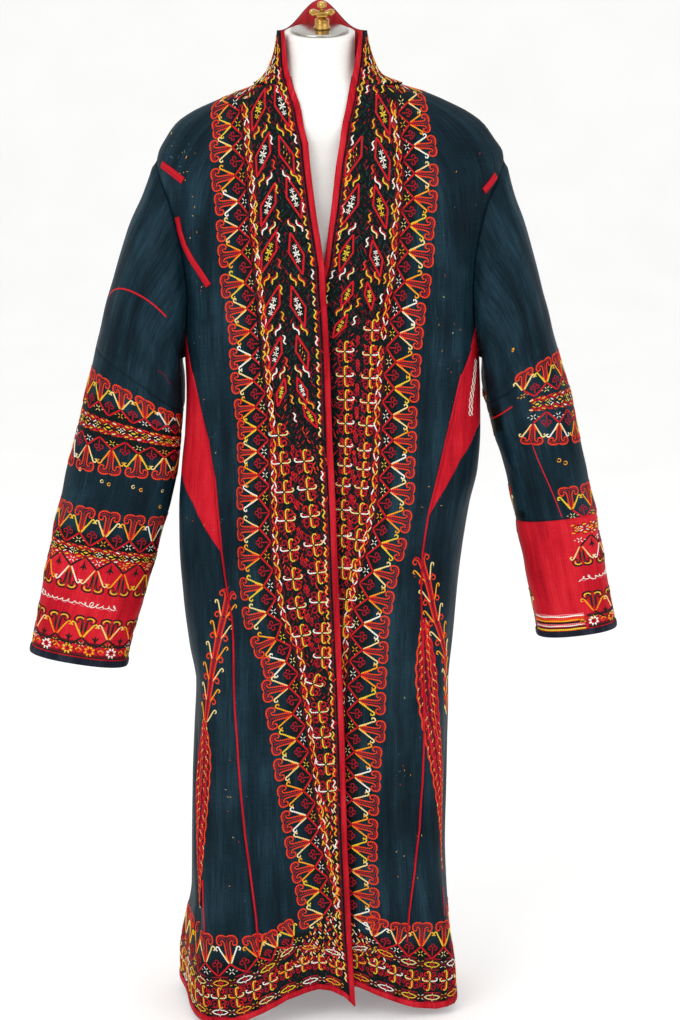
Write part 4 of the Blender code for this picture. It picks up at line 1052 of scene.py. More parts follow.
def tube(name, side, shares, inner, outer, materials, start=False, draw_in=GAP * 0.7):
    """A closed wall round a sleeve, between its first and last share."""
    turns = np.radians(np.arange(0, 360, 3.0))
    share, turn = np.meshgrid(shares, turns, indexing="ij")
    at, out = sleeve(share, turn, side), sleeve_normal(share, turn, side)
    if start:  # the first ring faces away from the armhole's middle, and stays inside the seam
        radial = at[0] - at[0].mean(axis=0)
        out[0] = radial / np.linalg.norm(radial, axis=1, keepdims=True)
        at[0] -= out[0] * GAP / 2
    for row, other in ((0, 1), (-1, -2)):
        way = at[other] - at[row]
        at[row] += way / np.linalg.norm(way, axis=1, keepdims=True) * draw_in
    rows, ring = share.shape
    count, low = rows * ring, (rows - 1) * ring
    outer = np.broadcast_to(outer, (rows,))[:, None, None]
    points = np.concatenate([(at + out * outer).reshape(-1, 3), (at + out * inner).reshape(-1, 3)])
    quads = ring_faces(rows, ring)
    j = np.arange(ring)
    n = (j + 1) % ring
    ends = np.concatenate([np.stack([n, j, j + count, n + count], axis=1),
                           np.stack([low + j, low + n, low + n + count, low + j + count], axis=1)])
    if side < 0:
        quads = quads[:, ::-1]
    else:
        ends = ends[:, ::-1]
    faces, which = walled(quads, ends, count, materials)
    # The map is laid corner by corner, because its last column is the first one again.
    place = faces % ring
    place[(place == 0) & (place.max(axis=1, keepdims=True) == ring - 1)] = ring
    around, down = np.append(turns, 2 * np.pi) * 55.0, shares * SLEEVE_LENGTH
    uv = np.stack([around[place], -down[faces % count // ring]], axis=-1)
    worked = np.tile(embroidered_sleeve(side, shares, turns).reshape(-1), 2)
    return add_mesh(name, points, faces, uv, materials, which, worked)


def make_sleeves():
    """Each sleeve's top, its lower part, its red lower piece and the dark binding of its cuff."""
    silk, red = [SILK_CLOTH, LINING_CLOTH], [RED_CLOTH, LINING_CLOTH]
    top = np.unique(np.concatenate([[0, 0.006, 0.012, 0.019, 0.026], np.linspace(0.026, SLEEVE_JOIN, 36)]))
    edge = np.linspace(0.985, 1.0, 7)
    for name, side in SIGN.items():
        split = CUFF_SHARE[name]
        middle = np.linspace(SLEEVE_JOIN, split, round((split - SLEEVE_JOIN) * 100) + 1)
        low = np.linspace(split, 1.0, round((1 - split) * 100) + 1)
        piece(tube(f"sleeve_top_{name}_cloth", side, top, -CLOTH, 0, silk, start=True), f"sleeve_top_{name}")
        piece(tube(f"sleeve_{name}_cloth", side, middle, -CLOTH, 0, silk), f"sleeve_{name}")
        piece(tube(f"cuff_piece_{name}_cloth", side, low, -CLOTH, 0, red), f"cuff_piece_{name}")
        lift = GAP + TRIM + 0.5 - 0.8 * np.linspace(-1, 1, 7) ** 4
        piece(tube(f"cuff_binding_{name}_strip", side, edge, GAP, lift, [DARK_TRIM]), f"cuff_binding_{name}")


def make_strips():
    """Red strips sewn on the fronts beside the armholes."""
    for name, line in STRIPS.items():
        x, height = np.array(line, float).T
        share = np.linspace(0, 1, 25) * (len(x) - 1)
        x, height = (np.interp(share, np.arange(len(x)), v) for v in (x, height))
        angle = angle_at_x(height, x, True)
        middle = coat(height, angle)
        across = np.cross(coat_normal(height, angle), np.gradient(middle, axis=0))
        across /= np.linalg.norm(across, axis=1, keepdims=True)
        t = np.linspace(-0.5, 0.5, 7)
        beside = middle[:, None] + across[:, None] * t[:, None] * STRIP_WIDTH
        angle = angle_at_x(beside[..., 2], beside[..., 0], True)
        at, out = coat(beside[..., 2], angle), coat_normal(beside[..., 2], angle)
        lift = np.broadcast_to(GAP + TRIM + 0.4 - 2.8 * t ** 4 * 4, at.shape[:2])
        strip(name, "band", at, out, t * STRIP_WIDTH, lift)


def piece(made, node):
    """Makes a dressed piece stand for its node."""
    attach(made, "root")
    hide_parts(node)
    return made


def closed_rings(rows, ring, turned=False):
    """Faces of a closed body from rows of points round a ring, then the middles of its two ends."""
    j = np.arange(ring)
    n, last, low = (j + 1) % ring, (rows - 1) * ring, np.full(ring, rows * ring)
    quads = ring_faces(rows, ring)
    ends = np.concatenate([np.stack([j, n, low], axis=1), np.stack([last + n, last + j, low + 1], axis=1)])
    if turned:
        quads, ends = quads[:, [0, 3, 2, 1]], ends[:, [1, 0, 2]]
    return quads.tolist() + ends.tolist()


def lathe(name, profile, item, centre=(0.0, 0.0), sides=48):
    """A turned solid from (radius, height) rows, closed at both ends, tilted as the neck's top is."""
    turn = np.arange(sides) * 2 * np.pi / sides
    r, z = np.array(profile, float).T
    points = np.stack([r[:, None] * np.cos(turn), r[:, None] * np.sin(turn),
                       np.broadcast_to(z[:, None], (len(r), sides))], axis=-1)
    points = np.concatenate([points.reshape(-1, 3), [[0, 0, z[0]], [0, 0, z[-1]]]])
    points[:, 2] += points[:, 1] * CAP_TILT
    points[:, :2] += centre
    return solid(name, points, closed_rings(len(r), sides, True), item)


def rounded(profile, radius=0.6, steps=4):
    """The profile with its corners turned over small arcs, as a polished edge has them."""
    points = np.array(profile, float)
    found = [points[0]]
    for a, b, c in zip(points, points[1:], points[2:]):
        before, after = a - b, c - b
        reach = min(radius, np.linalg.norm(before) * 0.45, np.linalg.norm(after) * 0.45)
        p, q = b + before / np.linalg.norm(before) * reach, b + after / np.linalg.norm(after) * reach
        for t in np.linspace(0, 1, steps):
            found.append((1 - t) ** 2 * p + 2 * t * (1 - t) * b + t * t * q)
    return found + [points[-1]]


def make_form():
    """The padded torso with its neck, whole and smooth, inside the coat."""
    low, ring = FORM[0][0], 112
    rows = np.array([low, 645, 660, 690, 730, 780, 830, 880, 930, 980, 1030, 1070, 1100, 1125, 1148, 1168,
                     1184, 1198, 1211, 1223, 1234, 1245, 1256, 1268, 1281, 1296, NECK_TOP], float)
    heights = np.concatenate([np.linspace(a, b, 5)[:-1] for a, b in zip(rows, rows[1:])] + [[NECK_TOP]])
    height, turn = np.meshgrid(heights, np.arange(ring) * 2 * np.pi / ring, indexing="ij")
    side, front, back, middle, square, on_cloth = columns(FORM, height)
    ahead = np.cos(turn)
    depth = np.where(ahead > 0, front, back)
    radius = (np.abs(np.sin(turn) / side) ** square + np.abs(ahead / depth) ** square) ** (-1 / square)
    radius = radius * (0.90 + 0.10 * smooth((height - low) / 5))
    own = np.stack([-radius * np.sin(turn), middle - radius * ahead, height], axis=-1)
    own[..., 2] += own[..., 1] * CAP_TILT * smooth((height - 1285) / 33)
    under_cloth = coat(height, turn) - coat_normal(height, turn) * (FORM_REST + GAP)
    points = own + (under_cloth - own) * on_cloth[..., None]
    flat = np.concatenate([points.reshape(-1, 3), [[0, 0, low], [0, 0, points[-1, :, 2].mean()]]])
    made = solid("form_torso_jersey", flat, closed_rings(len(heights), ring), JERSEY)
    piece(made, "form_torso")


AXIS_X = 3.0  # where the stem stands on the cap, across
STEM_LOW = CAP_HEIGHT + GAP
NUT_LOW = STEM_LOW + 14 + GAP
KNOB_LOW = NUT_LOW + 8 + GAP


def make_cap():
    low = NECK_TOP + GAP
    cap = ((37, low), (38.5, low + 1), (38.5, CAP_HEIGHT - 1), (37, CAP_HEIGHT), (12, CAP_HEIGHT))
    piece(lathe("neck_cap_disc", rounded(cap, 0.9), CHROME, sides=128), "neck_cap")


def make_stem():
    profile = [(11, STEM_LOW), (11, STEM_LOW + 2.5), (9.5, STEM_LOW + 4), (9.5, STEM_LOW + 8)]
    for k in range(4):  # the turns of its thread
        profile += [(9.1, STEM_LOW + 8.4 + k), (9.5, STEM_LOW + 8.9 + k)]
    profile += [(4.2, STEM_LOW + 14)]
    piece(lathe("stem_turned", rounded(profile, 0.3), BRASS_METAL, (AXIS_X, 0.0)), "stem")


def make_nut():
    """A nut with two ears, drawn in towards its front and its back."""
    outline = np.array([(-7, 0), (7, 0), (8, 3), (14, 2.5), (17, 6), (16, 10), (11, 11), (5, 8), (-5, 8),
                        (-11, 11), (-16, 10), (-17, 6), (-14, 2.5), (-8, 3)], float)
    turned = np.array(rounded(np.concatenate([outline, outline[:1]]), 1.6, 5)[:-1])
    middle = np.array([0.0, 5.5])
    work = bmesh.new()
    rings = []
    for y, draw in ((-3.5, 0.84), (-3.0, 0.95), (-1.2, 1.0), (1.2, 1.0), (3.0, 0.95), (3.5, 0.84)):
        drawn = middle + (turned - middle) * draw
        places = [np.array([x + AXIS_X, y, NUT_LOW + z + y * CAP_TILT]) for x, z in drawn]
        rings.append([work.verts.new((place - SHIFT) * 0.001) for place in places])
    for a, b in zip(rings, rings[1:]):
        for k in range(len(a)):
            n = (k + 1) % len(a)
            work.faces.new((a[k], b[k], b[n], a[n]))
    work.faces.new(rings[0])
    work.faces.new(rings[-1][::-1])
    bmesh.ops.recalc_face_normals(work, faces=work.faces)
    mesh = bpy.data.meshes.new("wing_nut_cast")
    work.to_mesh(mesh)
    work.free()
    mesh.polygons.foreach_set("use_smooth", np.ones(len(mesh.polygons), bool))
    mesh.materials.append(BRASS_METAL)
    piece(into_scene("wing_nut_cast", mesh), "wing_nut")


def make_knob():
    low = KNOB_LOW
    profile = [(3.0, low), (3.0, low + 2.6), (3.4, low + 3.2)]
    profile += [(3.4 + 2.8 * np.sin(t) ** 0.8, low + 3.2 + 4.7 * (1 - np.cos(t)))
                for t in np.linspace(0.2, 1.57, 7)]
    profile += [(6.2 * np.cos(t) ** 0.7, low + 7.9 + 4.6 * np.sin(t)) for t in np.linspace(0.15, 1.35, 7)]
    piece(lathe("knob_turned", profile, BRASS_METAL, (AXIS_X, 0.0)), "knob")


def dress_stand():
    for name, item in (("pole", CHROME), ("base", PAINT)):
        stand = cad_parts[name]
        stand.data.materials.clear()
        stand.data.materials.append(item)


THREADS = {
    "red": (196, 18, 30), "orange": (218, 58, 26), "crimson": (160, 12, 36), "maroon": (92, 10, 26),
    "gold": (236, 156, 30), "yellow": (220, 190, 50), "cream": (232, 208, 140), "white": (236, 232, 218),
    "dark": (16, 24, 22), "green": (26, 44, 38), "pink": (226, 118, 128), "teal": (66, 110, 112),
    "teal_dark": (20, 58, 58),
}
COLOURS = list(THREADS)
STITCHED = {}  # what is to be sewn, group by group
GROUPS = {}  # each group's chart and how high its ground lies


def stitch(group, colour, points, width=2.0, layer=0, bent=True):
    """Notes one line of chain stitch through points given in the chart."""
    points = np.asarray(points, float)
    if bent and len(points) > 2:
        points = bend(points)
    STITCHED.setdefault(group, []).append((COLOURS.index(colour), width, even(points), layer))


def bend(points, steps=6):
    """A smooth curve through the points."""
    p = np.concatenate([[2 * points[0] - points[1]], points, [2 * points[-1] - points[-2]]])
    t = (np.arange(steps) / steps)[:, None]
    found = [0.5 * (2 * b + (c - a) * t + (2 * a - 5 * b + 4 * c - d) * t ** 2
                    + (3 * b - a - 3 * c + d) * t ** 3) for a, b, c, d in zip(p, p[1:], p[2:], p[3:])]
    return np.concatenate(found + [points[-1:]])


def even(points, step=2.4):
    """The same line with its points a stitch apart."""
    along = np.concatenate([[0], np.cumsum(np.linalg.norm(np.diff(points, axis=0), axis=1))])
    count = max(2, int(round(along[-1] / step)) + 1)
    at = np.linspace(0, along[-1], count)
    return np.stack([np.interp(at, along, points[:, 0]), np.interp(at, along, points[:, 1])], axis=1)


class Spot:
    """A motif's place in a chart: its middle, its direction along the row and its way outward."""

    def __init__(self, group, at, along, flip=1.0, size=1.0):
        self.group, self.at = group, np.asarray(at, float)
        along = np.asarray(along, float)
        self.along = along / np.linalg.norm(along)
        self.out = np.array([-self.along[1], self.along[0]]) * flip
        self.size = size

    def line(self, colour, points, width=2.0, layer=0, bent=True):
        points = np.asarray(points, float) * self.size
        placed_points = self.at + points[:, :1] * self.along + points[:, 1:] * self.out
        stitch(self.group, colour, placed_points, width, layer, bent)

    def both(self, colour, points, width=2.0, layer=0, bent=True):
        """The line and its mirror image across the outward direction."""
        points = np.asarray(points, float)
        self.line(colour, points, width, layer, bent)
        self.line(colour, points * (-1, 1), width, layer, bent)

    def astride(self, *lines, sides=(-1, 1)):
        """Lines on both sides of the row, each as its colour, its points, its width and so on."""
        for side in sides:
            for colour, points, *rest in lines:
                self.line(colour, np.array(points, float) * (1, side), *rest)


def ram_horn(spot, outline="orange", inner="crimson", fill="green", stem="crimson", reach=1.0):
    """A stem from the spot that opens into two horns, with a leaf in each half."""
    s = (1.0, reach)
    spot.line(stem, np.array([(0, 1.0), (0, 14), (0, 28)]) * s, 1.8, 0, False)
    leaf_line = [(1.6, 8.0), (1.7, 16.0), (1.9, 25.0), (5.0, 27.6), (8.4, 26.6)]
    curl = [(2.0, 26.4), (4.0, 28.6), (8.0, 28.9), (10.6, 26.8), (10.6, 23.8)]
    neck = [(1.3, 0.8), (2.4, 6.0), (3.0, 12.0), (3.3, 19), (4.1, 24.2), (7.0, 26.0), (8.6, 24.4)]
    horn = [(0.2, 29.8), (3.4, 31.2), (8.4, 31.4), (12.4, 29.4), (13.6, 25.4), (12.4, 21.4), (9.4, 20.4),
            (7.2, 22.0), (8.0, 24.0)]
    for colour, points, width, layer in ((fill, leaf_line, 1.4, 0), (inner, curl, 1.6, 0),
                                         (outline, neck, 1.7, 0), (outline, horn, 2.0, 1)):
        spot.both(colour, np.array(points) * s, width, layer)


def hooks(spot, colour, edge, tip=(10.6, 15.6), layer=1):
    """Two lines from the spot that part and end in small outward curls."""
    x, y = tip
    curl = [(x + 1.0, y + 2.4), (x + 3.2, y + 3.6), (x + 5.4, y + 1.8), (x + 4.8, y - 0.8),
            (x + 2.8, y - 0.8)]
    spot.both(edge, [(0.8, 0.6), (x * 0.42, y * 0.46), (x * 0.62, y * 0.66)], 2.4, layer + 1)
    spot.both(colour, [(1.6, 0.6), (x * 0.5 + 0.4, y * 0.5), (x, y), *curl], 2.0, layer + 1)


def bud(spot, colour="crimson", high=12.0):
    """A stalk with two loops and a ring at its head."""
    spot.line(colour, [(0, -high * 0.9), (0, 0.4)], 1.6)
    spot.both(colour, [(0, 0.2), (2.6, 2.2), (5.6, 1.8), (6.4, -1.0), (4.4, -2.6), (2.0, -1.2)], 1.5)
    spot.both(colour, [(0, 0.4), (2.6, 2.6), (1.8, 5.4), (0, 6.0)], 1.5)


def petals(spot, colour, count=4, long=4.2, width=2.2, hole=1.2, start=45.0):
    """Short straight petals round an open middle."""
    for k in range(count):
        a = math.radians(start + 360.0 * k / count)
        way = np.array([[math.cos(a), math.sin(a)]])
        spot.line(colour, np.concatenate([hole * way, long * way]), width, 1, False)


def blossom(spot, colour):
    """Four petals round an open middle, with a short dash on each side, as it sits behind an apex."""
    petals(spot, colour, 4, 4.8, 2.3, 1.3, 50.0)
    for side in (-1, 1):
        spot.line(colour, [(side * 5.6, 0), (side * 8.4, 0)], 1.7, 1, False)


def leafy_flower(spot, colour):
    """A flower with two leaves above it and two below, as it fills a lozenge."""
    for x, size in ((0.0, 1.15), (8.8, 0.8), (-8.8, 0.8)):
        for way in (1, -1):
            petal = [(x + 0.5 * way, 0.7), (x + 2.6 * size * way, 3.4 * size)]
            spot.astride((colour, petal, 2.5, 1, False), sides=(1, -1))
    spot.line(colour, [(-12.4, 0), (12.4, 0)], 1.0, 0, False)


def squiggle(spot, colour, beside=None, long=15.0, sway=1.5):
    """One short S of stitch, with another colour along it."""
    t = np.linspace(-0.5, 0.5, 9)
    x, y = t * long, sway * np.sin(t * 2 * math.pi * 1.25)
    if beside:
        spot.line(beside, np.stack([x + 1.0, y - 2.1], axis=1), 1.6, 0)
    spot.line(colour, np.stack([x, y], axis=1), 1.9, 1)


def lozenge(spot, colour, lean, filling, long=27.0, wide=9.6):
    """A red lozenge that leans over, with a flower in it."""
    top, low = np.array([(long, lean), (-long, -lean)])
    for side in (-1, 1):
        waist = np.array([side * 1.5, side * wide])
        points = [low, low * 0.5 + waist * 0.5, waist, top * 0.5 + waist * 0.5, top]
        spot.line(colour, points, 2.4, 1, False)
    tilted = Spot(spot.group, spot.at, spot.along * 6 + spot.out * lean / long * 5, 1.0, spot.size)
    if filling == "dots":
        for k, (x, y) in enumerate(((-11, 0), (-6, 2.4), (-4, -2.4), (0, 0.6), (4, -2.4), (6, 2.2), (11, 0))):
            tone = ("gold", "yellow", "orange")[k % 3]
            tilted.line(tone, [(x - 1.5, y - 0.8), (x + 1.5, y + 0.8)], 2.1, 1, False)
    else:
        leafy_flower(tilted, filling)


def leaf(spot, quadrant, colour):
    """A closed loop with a curl in it, in the quadrant between two arms."""
    loop = [(2.6, 2.6), (8.0, 2.4), (12.6, 3.2), (14.4, 6.4), (12.4, 9.4), (8.8, 9.2), (7.4, 6.8), (9.4, 5.6)]
    spot.line(colour, np.array(loop) * quadrant, 1.8)
    spot.line(colour, np.array([(2.4, 3.4), (3.0, 8.4), (5.4, 11.4), (7.0, 10.2)]) * quadrant, 1.5)


def hooked_cross(spot, tall="yellow", left="cream", right="white"):
    """A cross whose hooks pair off as mirror images, with leaves between its arms."""
    arm = np.array([(1.2, 0), (6, 0), (12.0, 0), (15.0, 1.4), (15.4, 4.4), (12.8, 5.2)])
    for way in (1, -1):  # the arms along the row both hook to the same side
        spot.line(tall, arm * (way, 1), 1.9, 2)
    arm = np.array([(0, 1.2), (0, 6), (0, 9.6), (1.6, 12.2), (4.6, 12.2), (5.2, 9.8)])
    for way, colour in ((1, left), (-1, right)):
        spot.line(colour, arm * (1, way), 1.9, 2)
    for quadrant, colour in (((1, 1), "red"), ((1, -1), "crimson"), ((-1, 1), "red"), ((-1, -1), "crimson")):
        leaf(spot, quadrant, colour)


def teardrop(group_name, at, colour):
    spot = Spot(group_name, at, (0.0, 1.0))
    spot.line(colour, [(-3.2, 0), (0.4, 1.8), (3.0, 0), (0.4, -1.8), (-3.2, 0)], 1.4)


def rhomb_flower(spot, colour, heart="crimson", long=11.5, wide=5.6):
    """Four flat petals drawn as one outline, in a guard stripe."""
    half = [(-long, 0), (-long * 0.45, wide * 0.5), (-1.5, wide * 0.45), (0, wide), (1.5, wide * 0.45),
            (long * 0.45, wide * 0.5), (long, 0)]
    spot.astride((colour, half, 1.4, 1), sides=(1, -1))
    spot.line(heart, [(-4.4, 0), (4.4, 0)], 2.2, 0, False)
    spot.line(heart, [(0, -2.4), (0, 2.4)], 2.0, 0, False)


def along_line(points, start, step):
    """Places and directions at even steps along a line of the chart."""
    points = np.asarray(points, float)
    run = np.concatenate([[0], np.cumsum(np.linalg.norm(np.diff(points, axis=0), axis=1))])
    where = np.arange(start, run[-1], step)
    at, ahead, behind = (np.stack([np.interp(where + by, run, points[:, k]) for k in (0, 1)], axis=1)
                         for by in (0.0, 1.0, -1.0))
    return at, ahead - behind


def across_way(way):
    """The unit directions across these ones."""
    way = way / np.linalg.norm(way, axis=1, keepdims=True)
    return np.stack([-way[:, 1], way[:, 0]], axis=1)


def offset_line(points, by):
    points = np.asarray(points, float)
    return points + across_way(np.gradient(points, axis=0)) * by


def guard(group, line, pitch, colours=("white", "gold", "cream", "yellow"), wide=5.2):
    """Two red lines that cross between flat flowers, along a line of the chart."""
    half = pitch / 2
    for k, (p, w) in enumerate(zip(*along_line(line, half, pitch))):
        spot = Spot(group, p, w)
        rhomb_flower(spot, colours[k % 4])
        rail = [(-half, -1.0), (-pitch / 4, wide * 0.75), (0, wide), (pitch / 4, wide * 0.75), (half, -1.0)]
        ridge = [(-pitch * 0.36, wide + 1.4), (0, wide + 2.2), (pitch * 0.36, wide + 1.4)]
        after = [(half - 4.2, wide - 1.2), (half - 1.2, wide - 2.6)]
        before = [(4.2 - half, wide - 1.2), (1.2 - half, wide - 2.6)]
        spot.astride(("maroon", rail, 1.7), ("crimson", ridge, 1.3),
                     (colours[(k + 1) % 4], after, 1.8, 1, False),
                     (colours[(k + 2) % 4], before, 1.8, 1, False))


def border(group, apexes, flip, first=0, cup=14.0, red=False, horns=1.0, lean=0.0):
    """A row of horned apexes with cups between them. Outward is where the horns point."""
    apexes = np.asarray(apexes, float)
    pairs = (("gold", "orange"), ("yellow", "gold"), ("cream", "gold"), ("gold", "orange"), ("white", "gold"),
             ("cream", "orange"))
    tones = ("white", "yellow", "cream", "gold", "white")
    for k, (p, w) in enumerate(zip(apexes, np.gradient(apexes, axis=0)), first):
        spot = Spot(group, p, w, flip, min(1.1, np.linalg.norm(w) / 33.0))
        below = Spot(group, spot.at - spot.out * 9.0, w, flip)
        spot.out = spot.out + spot.along * lean
        if red:
            ram_horn(spot, "dark", "yellow", "green", "red", horns)
        else:
            ram_horn(spot, reach=horns)
        hooks(spot, *pairs[k % 6])
        blossom(below, tones[k % 5])
    for p, q in zip(apexes, apexes[1:]):
        half = np.linalg.norm(q - p) / 2
        spot = Spot(group, (p + q) / 2, q - p, flip)
        cup_line = [(0, -cup), (2.2, -cup * 0.93), (half * 0.55, -cup * 0.5), (half, 0)]
        spot.both("dark" if red else "red", cup_line, 2.6 if red else 2.2, 1, False)
        if red:
            for a in (90, 35, 145):
                c, s = math.cos(math.radians(a)), math.sin(math.radians(a))
                spot.line("dark", [(-2.0 * c, -3 - 2.0 * s), (5.6 * c, -2 + 5.6 * s)], 2.2, 1, False)
            spot.line("dark", [(0, -9), (0, 2)], 1.8, 1, False)
        else:
            bud(Spot(group, (p + q) / 2 + spot.out * -1.0, q - p, flip, min(1.0, half * 2 / 33)))


def sew():
    """Lays every noted line on its ground as a raised, rounded strand."""
    for name, lines in STITCHED.items():
        chart, ground = GROUPS[name]
        flat = np.concatenate([line[2] for line in lines])
        at, out = chart.surface(flat[:, 0], flat[:, 1])
        points, faces, uv, which, start = [], [], [], [], 0
        for colour, width, line, layer in lines:
            n = len(line)
            p, o = at[start:start + n], out[start:start + n]
            side = np.cross(o, np.gradient(p, axis=0))
            side /= np.linalg.norm(side, axis=1, keepdims=True) + 1e-9
            half = np.full((n, 1), width / 2)
            half[[0, -1]] *= 0.45
            low = ground + 0.10
            high = low + 0.32 * width ** 0.5 + 0.2 * layer
            rows = np.stack([p + side * half + o * low, p + o * high, p - side * half + o * low], axis=1)
            points.append(rows.reshape(-1, 3))
            run = np.concatenate([[0], np.cumsum(np.linalg.norm(np.diff(p, axis=0), axis=1))])
            uv.append(np.stack([np.repeat(run, 3), np.tile([-width / 2, 0, width / 2], n)], axis=1))
            i = (start + np.arange(n - 1)[:, None]) * 3
            faces.append(np.concatenate([i + (0, 1, 4, 3), i + (1, 2, 5, 4)]))
            which.append(np.full(2 * (n - 1), colour))
            start += n
        used, which = np.unique(np.concatenate(which), return_inverse=True)
        made = add_mesh(f"{name}_thread", np.concatenate(points), np.concatenate(faces), np.concatenate(uv),
                        [THREAD_MATERIALS[k] for k in used], which)
        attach(made, "root")


THREAD_MATERIALS = [thread(f"thread_{name}", rgb(*colour)) for name, colour in THREADS.items()]


# The lozenges of the yaka, column by column: how far they lean, their fillings, and their places
# from the top as (distance, height).
YAKA = (
    ("right", "outer", 11.0, ("yellow", "white", "white", "yellow", "white", "white", "yellow"),
     ((79, 1224), (72, 1169), (65, 1107), (64, 1048), (60, 979), (56, 917), (49, 868))),
    ("right", "inner", 7.0, ("white", "dots", "white", "white", "white", "dots", "white", "yellow"),
     ((48, 1229), (42, 1169), (32, 1116), (29, 1046), (27, 979), (22, 920), (22, 871), (12, 837))),
    ("left", "outer", 9.0, ("yellow", "white", "yellow", "white", "yellow"),
     ((82, 1219), (81, 1163), (78, 1104), (73, 1040), (64, 992))),
    ("left", "inner", 9.0, ("dots", "white", "yellow", "yellow", "yellow"),
     ((44, 1166), (40, 1107), (37, 1046), (37, 994), (28, 953))),
)
CROSSES = {
    "right": (
        (53, 811), (50, 774), (20, 777), (46, 736), (16, 740), (44, 698), (12, 704), (39, 658), (8, 665),
        (35, 619), (3, 628), (30, 580), (1, 588), (24, 542), (-3, 546), (-3, 512), (9, 475), (1, 436),
        (-2, 400), (-6, 362), (-8, 324)),
    "left": (
        (68, 948), (66, 916), (65, 886), (63, 854), (61, 824), (58, 791), (57, 766), (55, 741), (53, 707),
        (49, 672), (43, 631), (34, 920), (34, 888), (35, 857), (35, 826), (35, 796), (34, 770), (32, 743),
        (31, 711), (31, 676), (32, 633), (37, 590), (34, 553)),
}


ON_COLLAR = GAP + CLOTH
LUCK = np.random.default_rng(7)


def group(name, chart, ground=0.0):
    GROUPS[name] = (chart, ground)
    return name


def front_borders():
    """The horned border of each front, with the guard stripe inside it."""
    for side, apexes in APEXES.items():
        chart, end = COAT_CHARTS[side], YAKA_END[side] + 8
        name = group(f"border_{side}", chart)
        border(name, apexes, 1.0, first=pick(side, 0, 2), lean=0.1)
        line = offset_line(bend(np.array(apexes, float), 4), -22.0)
        # Above the yaka's end the guard lies at the yaka's edge, and below it on the front itself.
        high = group(f"guard_upper_{side}", chart, ON_COLLAR)
        low = group(f"guard_lower_{side}", chart)
        front_guard(high, line[(line[:, 1] > end) & (line[:, 1] < 1236)], 0)
        front_guard(low, line[line[:, 1] <= end], 5)


def front_guard(name, line, first):
    """A rope of slanting dashes in yellow, white and orange, between thin lines of maroon."""
    at, way = along_line(line, 0, 2.4)
    run = np.arange(len(at)) * 2.4
    out = across_way(way)
    for colour, place, phase in (("maroon", 6.4, 0.0), ("crimson", 3.2, 1.0), ("red", 0.4, 2.6),
                                 ("maroon", -3.4, 4.0)):
        wave = place + 1.3 * np.sin(run * 2 * math.pi / 17.0 + phase)
        stitch(name, colour, at + out * wave[:, None], 1.5, 0, False)
    tones = ("yellow", "gold", "white", "orange", "cream", "gold", "yellow", "white", "orange")
    for k, (p, w) in enumerate(zip(*along_line(line, 3, 9.4))):
        spot = Spot(name, p, w)
        tilt = 1.0 if k % 2 else -1.0
        low = [(-4.4, -0.6 - 1.5 * tilt), (0.0, -0.8), (4.4, -0.6 + 1.5 * tilt)]
        high = [(-0.8, 3.2 + 1.6 * tilt), (3.0, 3.6), (6.2, 3.2 - 1.6 * tilt)]
        spot.line(tones[(k + first) % 9], low, 1.9, 1)
        spot.line(tones[(k * 2 + first + 3) % 9], high, 1.8, 1)


def dash(name, colour, at, turn, half, width, layer=0):
    """One straight stitch over a place."""
    way = np.array([math.cos(turn), math.sin(turn)]) * half
    stitch(name, colour, [at - way, at + way], width, layer, False)


def flecks(name, heights, inner, outer, span, step, colours, seed, slant=0.6, width=1.5, long=2.0, layer=0):
    """Loose slanting stitches, strewn between two lines that are given by their distances at each height."""
    luck = np.random.default_rng(seed)
    for h in np.arange(span[1], span[0], -step):
        a, b = np.interp(h, heights, inner), np.interp(h, heights, outer)
        for at in np.arange(a + step * luck.random(), b, step):
            place = np.array([at + luck.normal(0, step * 0.25), h + luck.normal(0, step * 0.25)])
            turn = math.pi / 2 + slant * (1 if luck.random() < 0.5 else -1) * (0.4 + luck.random())
            half = long + 1.8 * luck.random()
            dash(name, colours[int(luck.integers(len(colours)))], place, turn, half, width, layer)


def yaka():
    """Lozenges in two columns on each end of the collar, with squiggles in pairs between them."""
    for side, column, lean, fillings, places in YAKA:
        name = group(f"yaka_{side}", COAT_CHARTS[side], ON_COLLAR)
        points = np.array(places, float)
        steps = np.diff(points, axis=0)
        outer = column == "outer"
        flip = 1.0 if outer else -1.0
        for k, (p, w) in enumerate(zip(points, -np.gradient(points, axis=0))):
            ahead = steps[min(k, len(steps) - 1)]
            small = k >= len(points) - (1 if outer else 2)
            spot = Spot(name, p, w, flip, 0.66 if small else min(1.0, np.linalg.norm(ahead) / 58.0))
            lozenge(spot, "red", lean, fillings[k])
            if k < len(steps):
                squiggle_pair(name, p + ahead * 0.5, spot, flip, k)
            if outer:
                squiggles_beside(name, p, w, ahead, spot, flip, 2 * k)
    for side, seed, slope in (("right", 3, 1.0), ("left", 4, 0.75)):
        name = group(f"yaka_ground_{side}", COAT_CHARTS[side], ON_COLLAR)
        heights = np.arange(20.0, 1300.0, 10.0)
        edge = across_front(side, EDGE, heights) + BINDING + 2
        line = across_front(side, YAKA_LINE, heights) - 2
        end = YAKA_END[side]
        # The yaka's end slants, so that rows near it are shorter.
        limit = np.where(heights < end + 110, np.minimum(line, edge + (heights - end) / slope), line)
        tones = ("green", "teal_dark", "maroon", "green", "maroon", "dark", "crimson", "green")
        flecks(name, heights, edge, limit, (end + 4, 1262.0), 5.6, tones, seed)


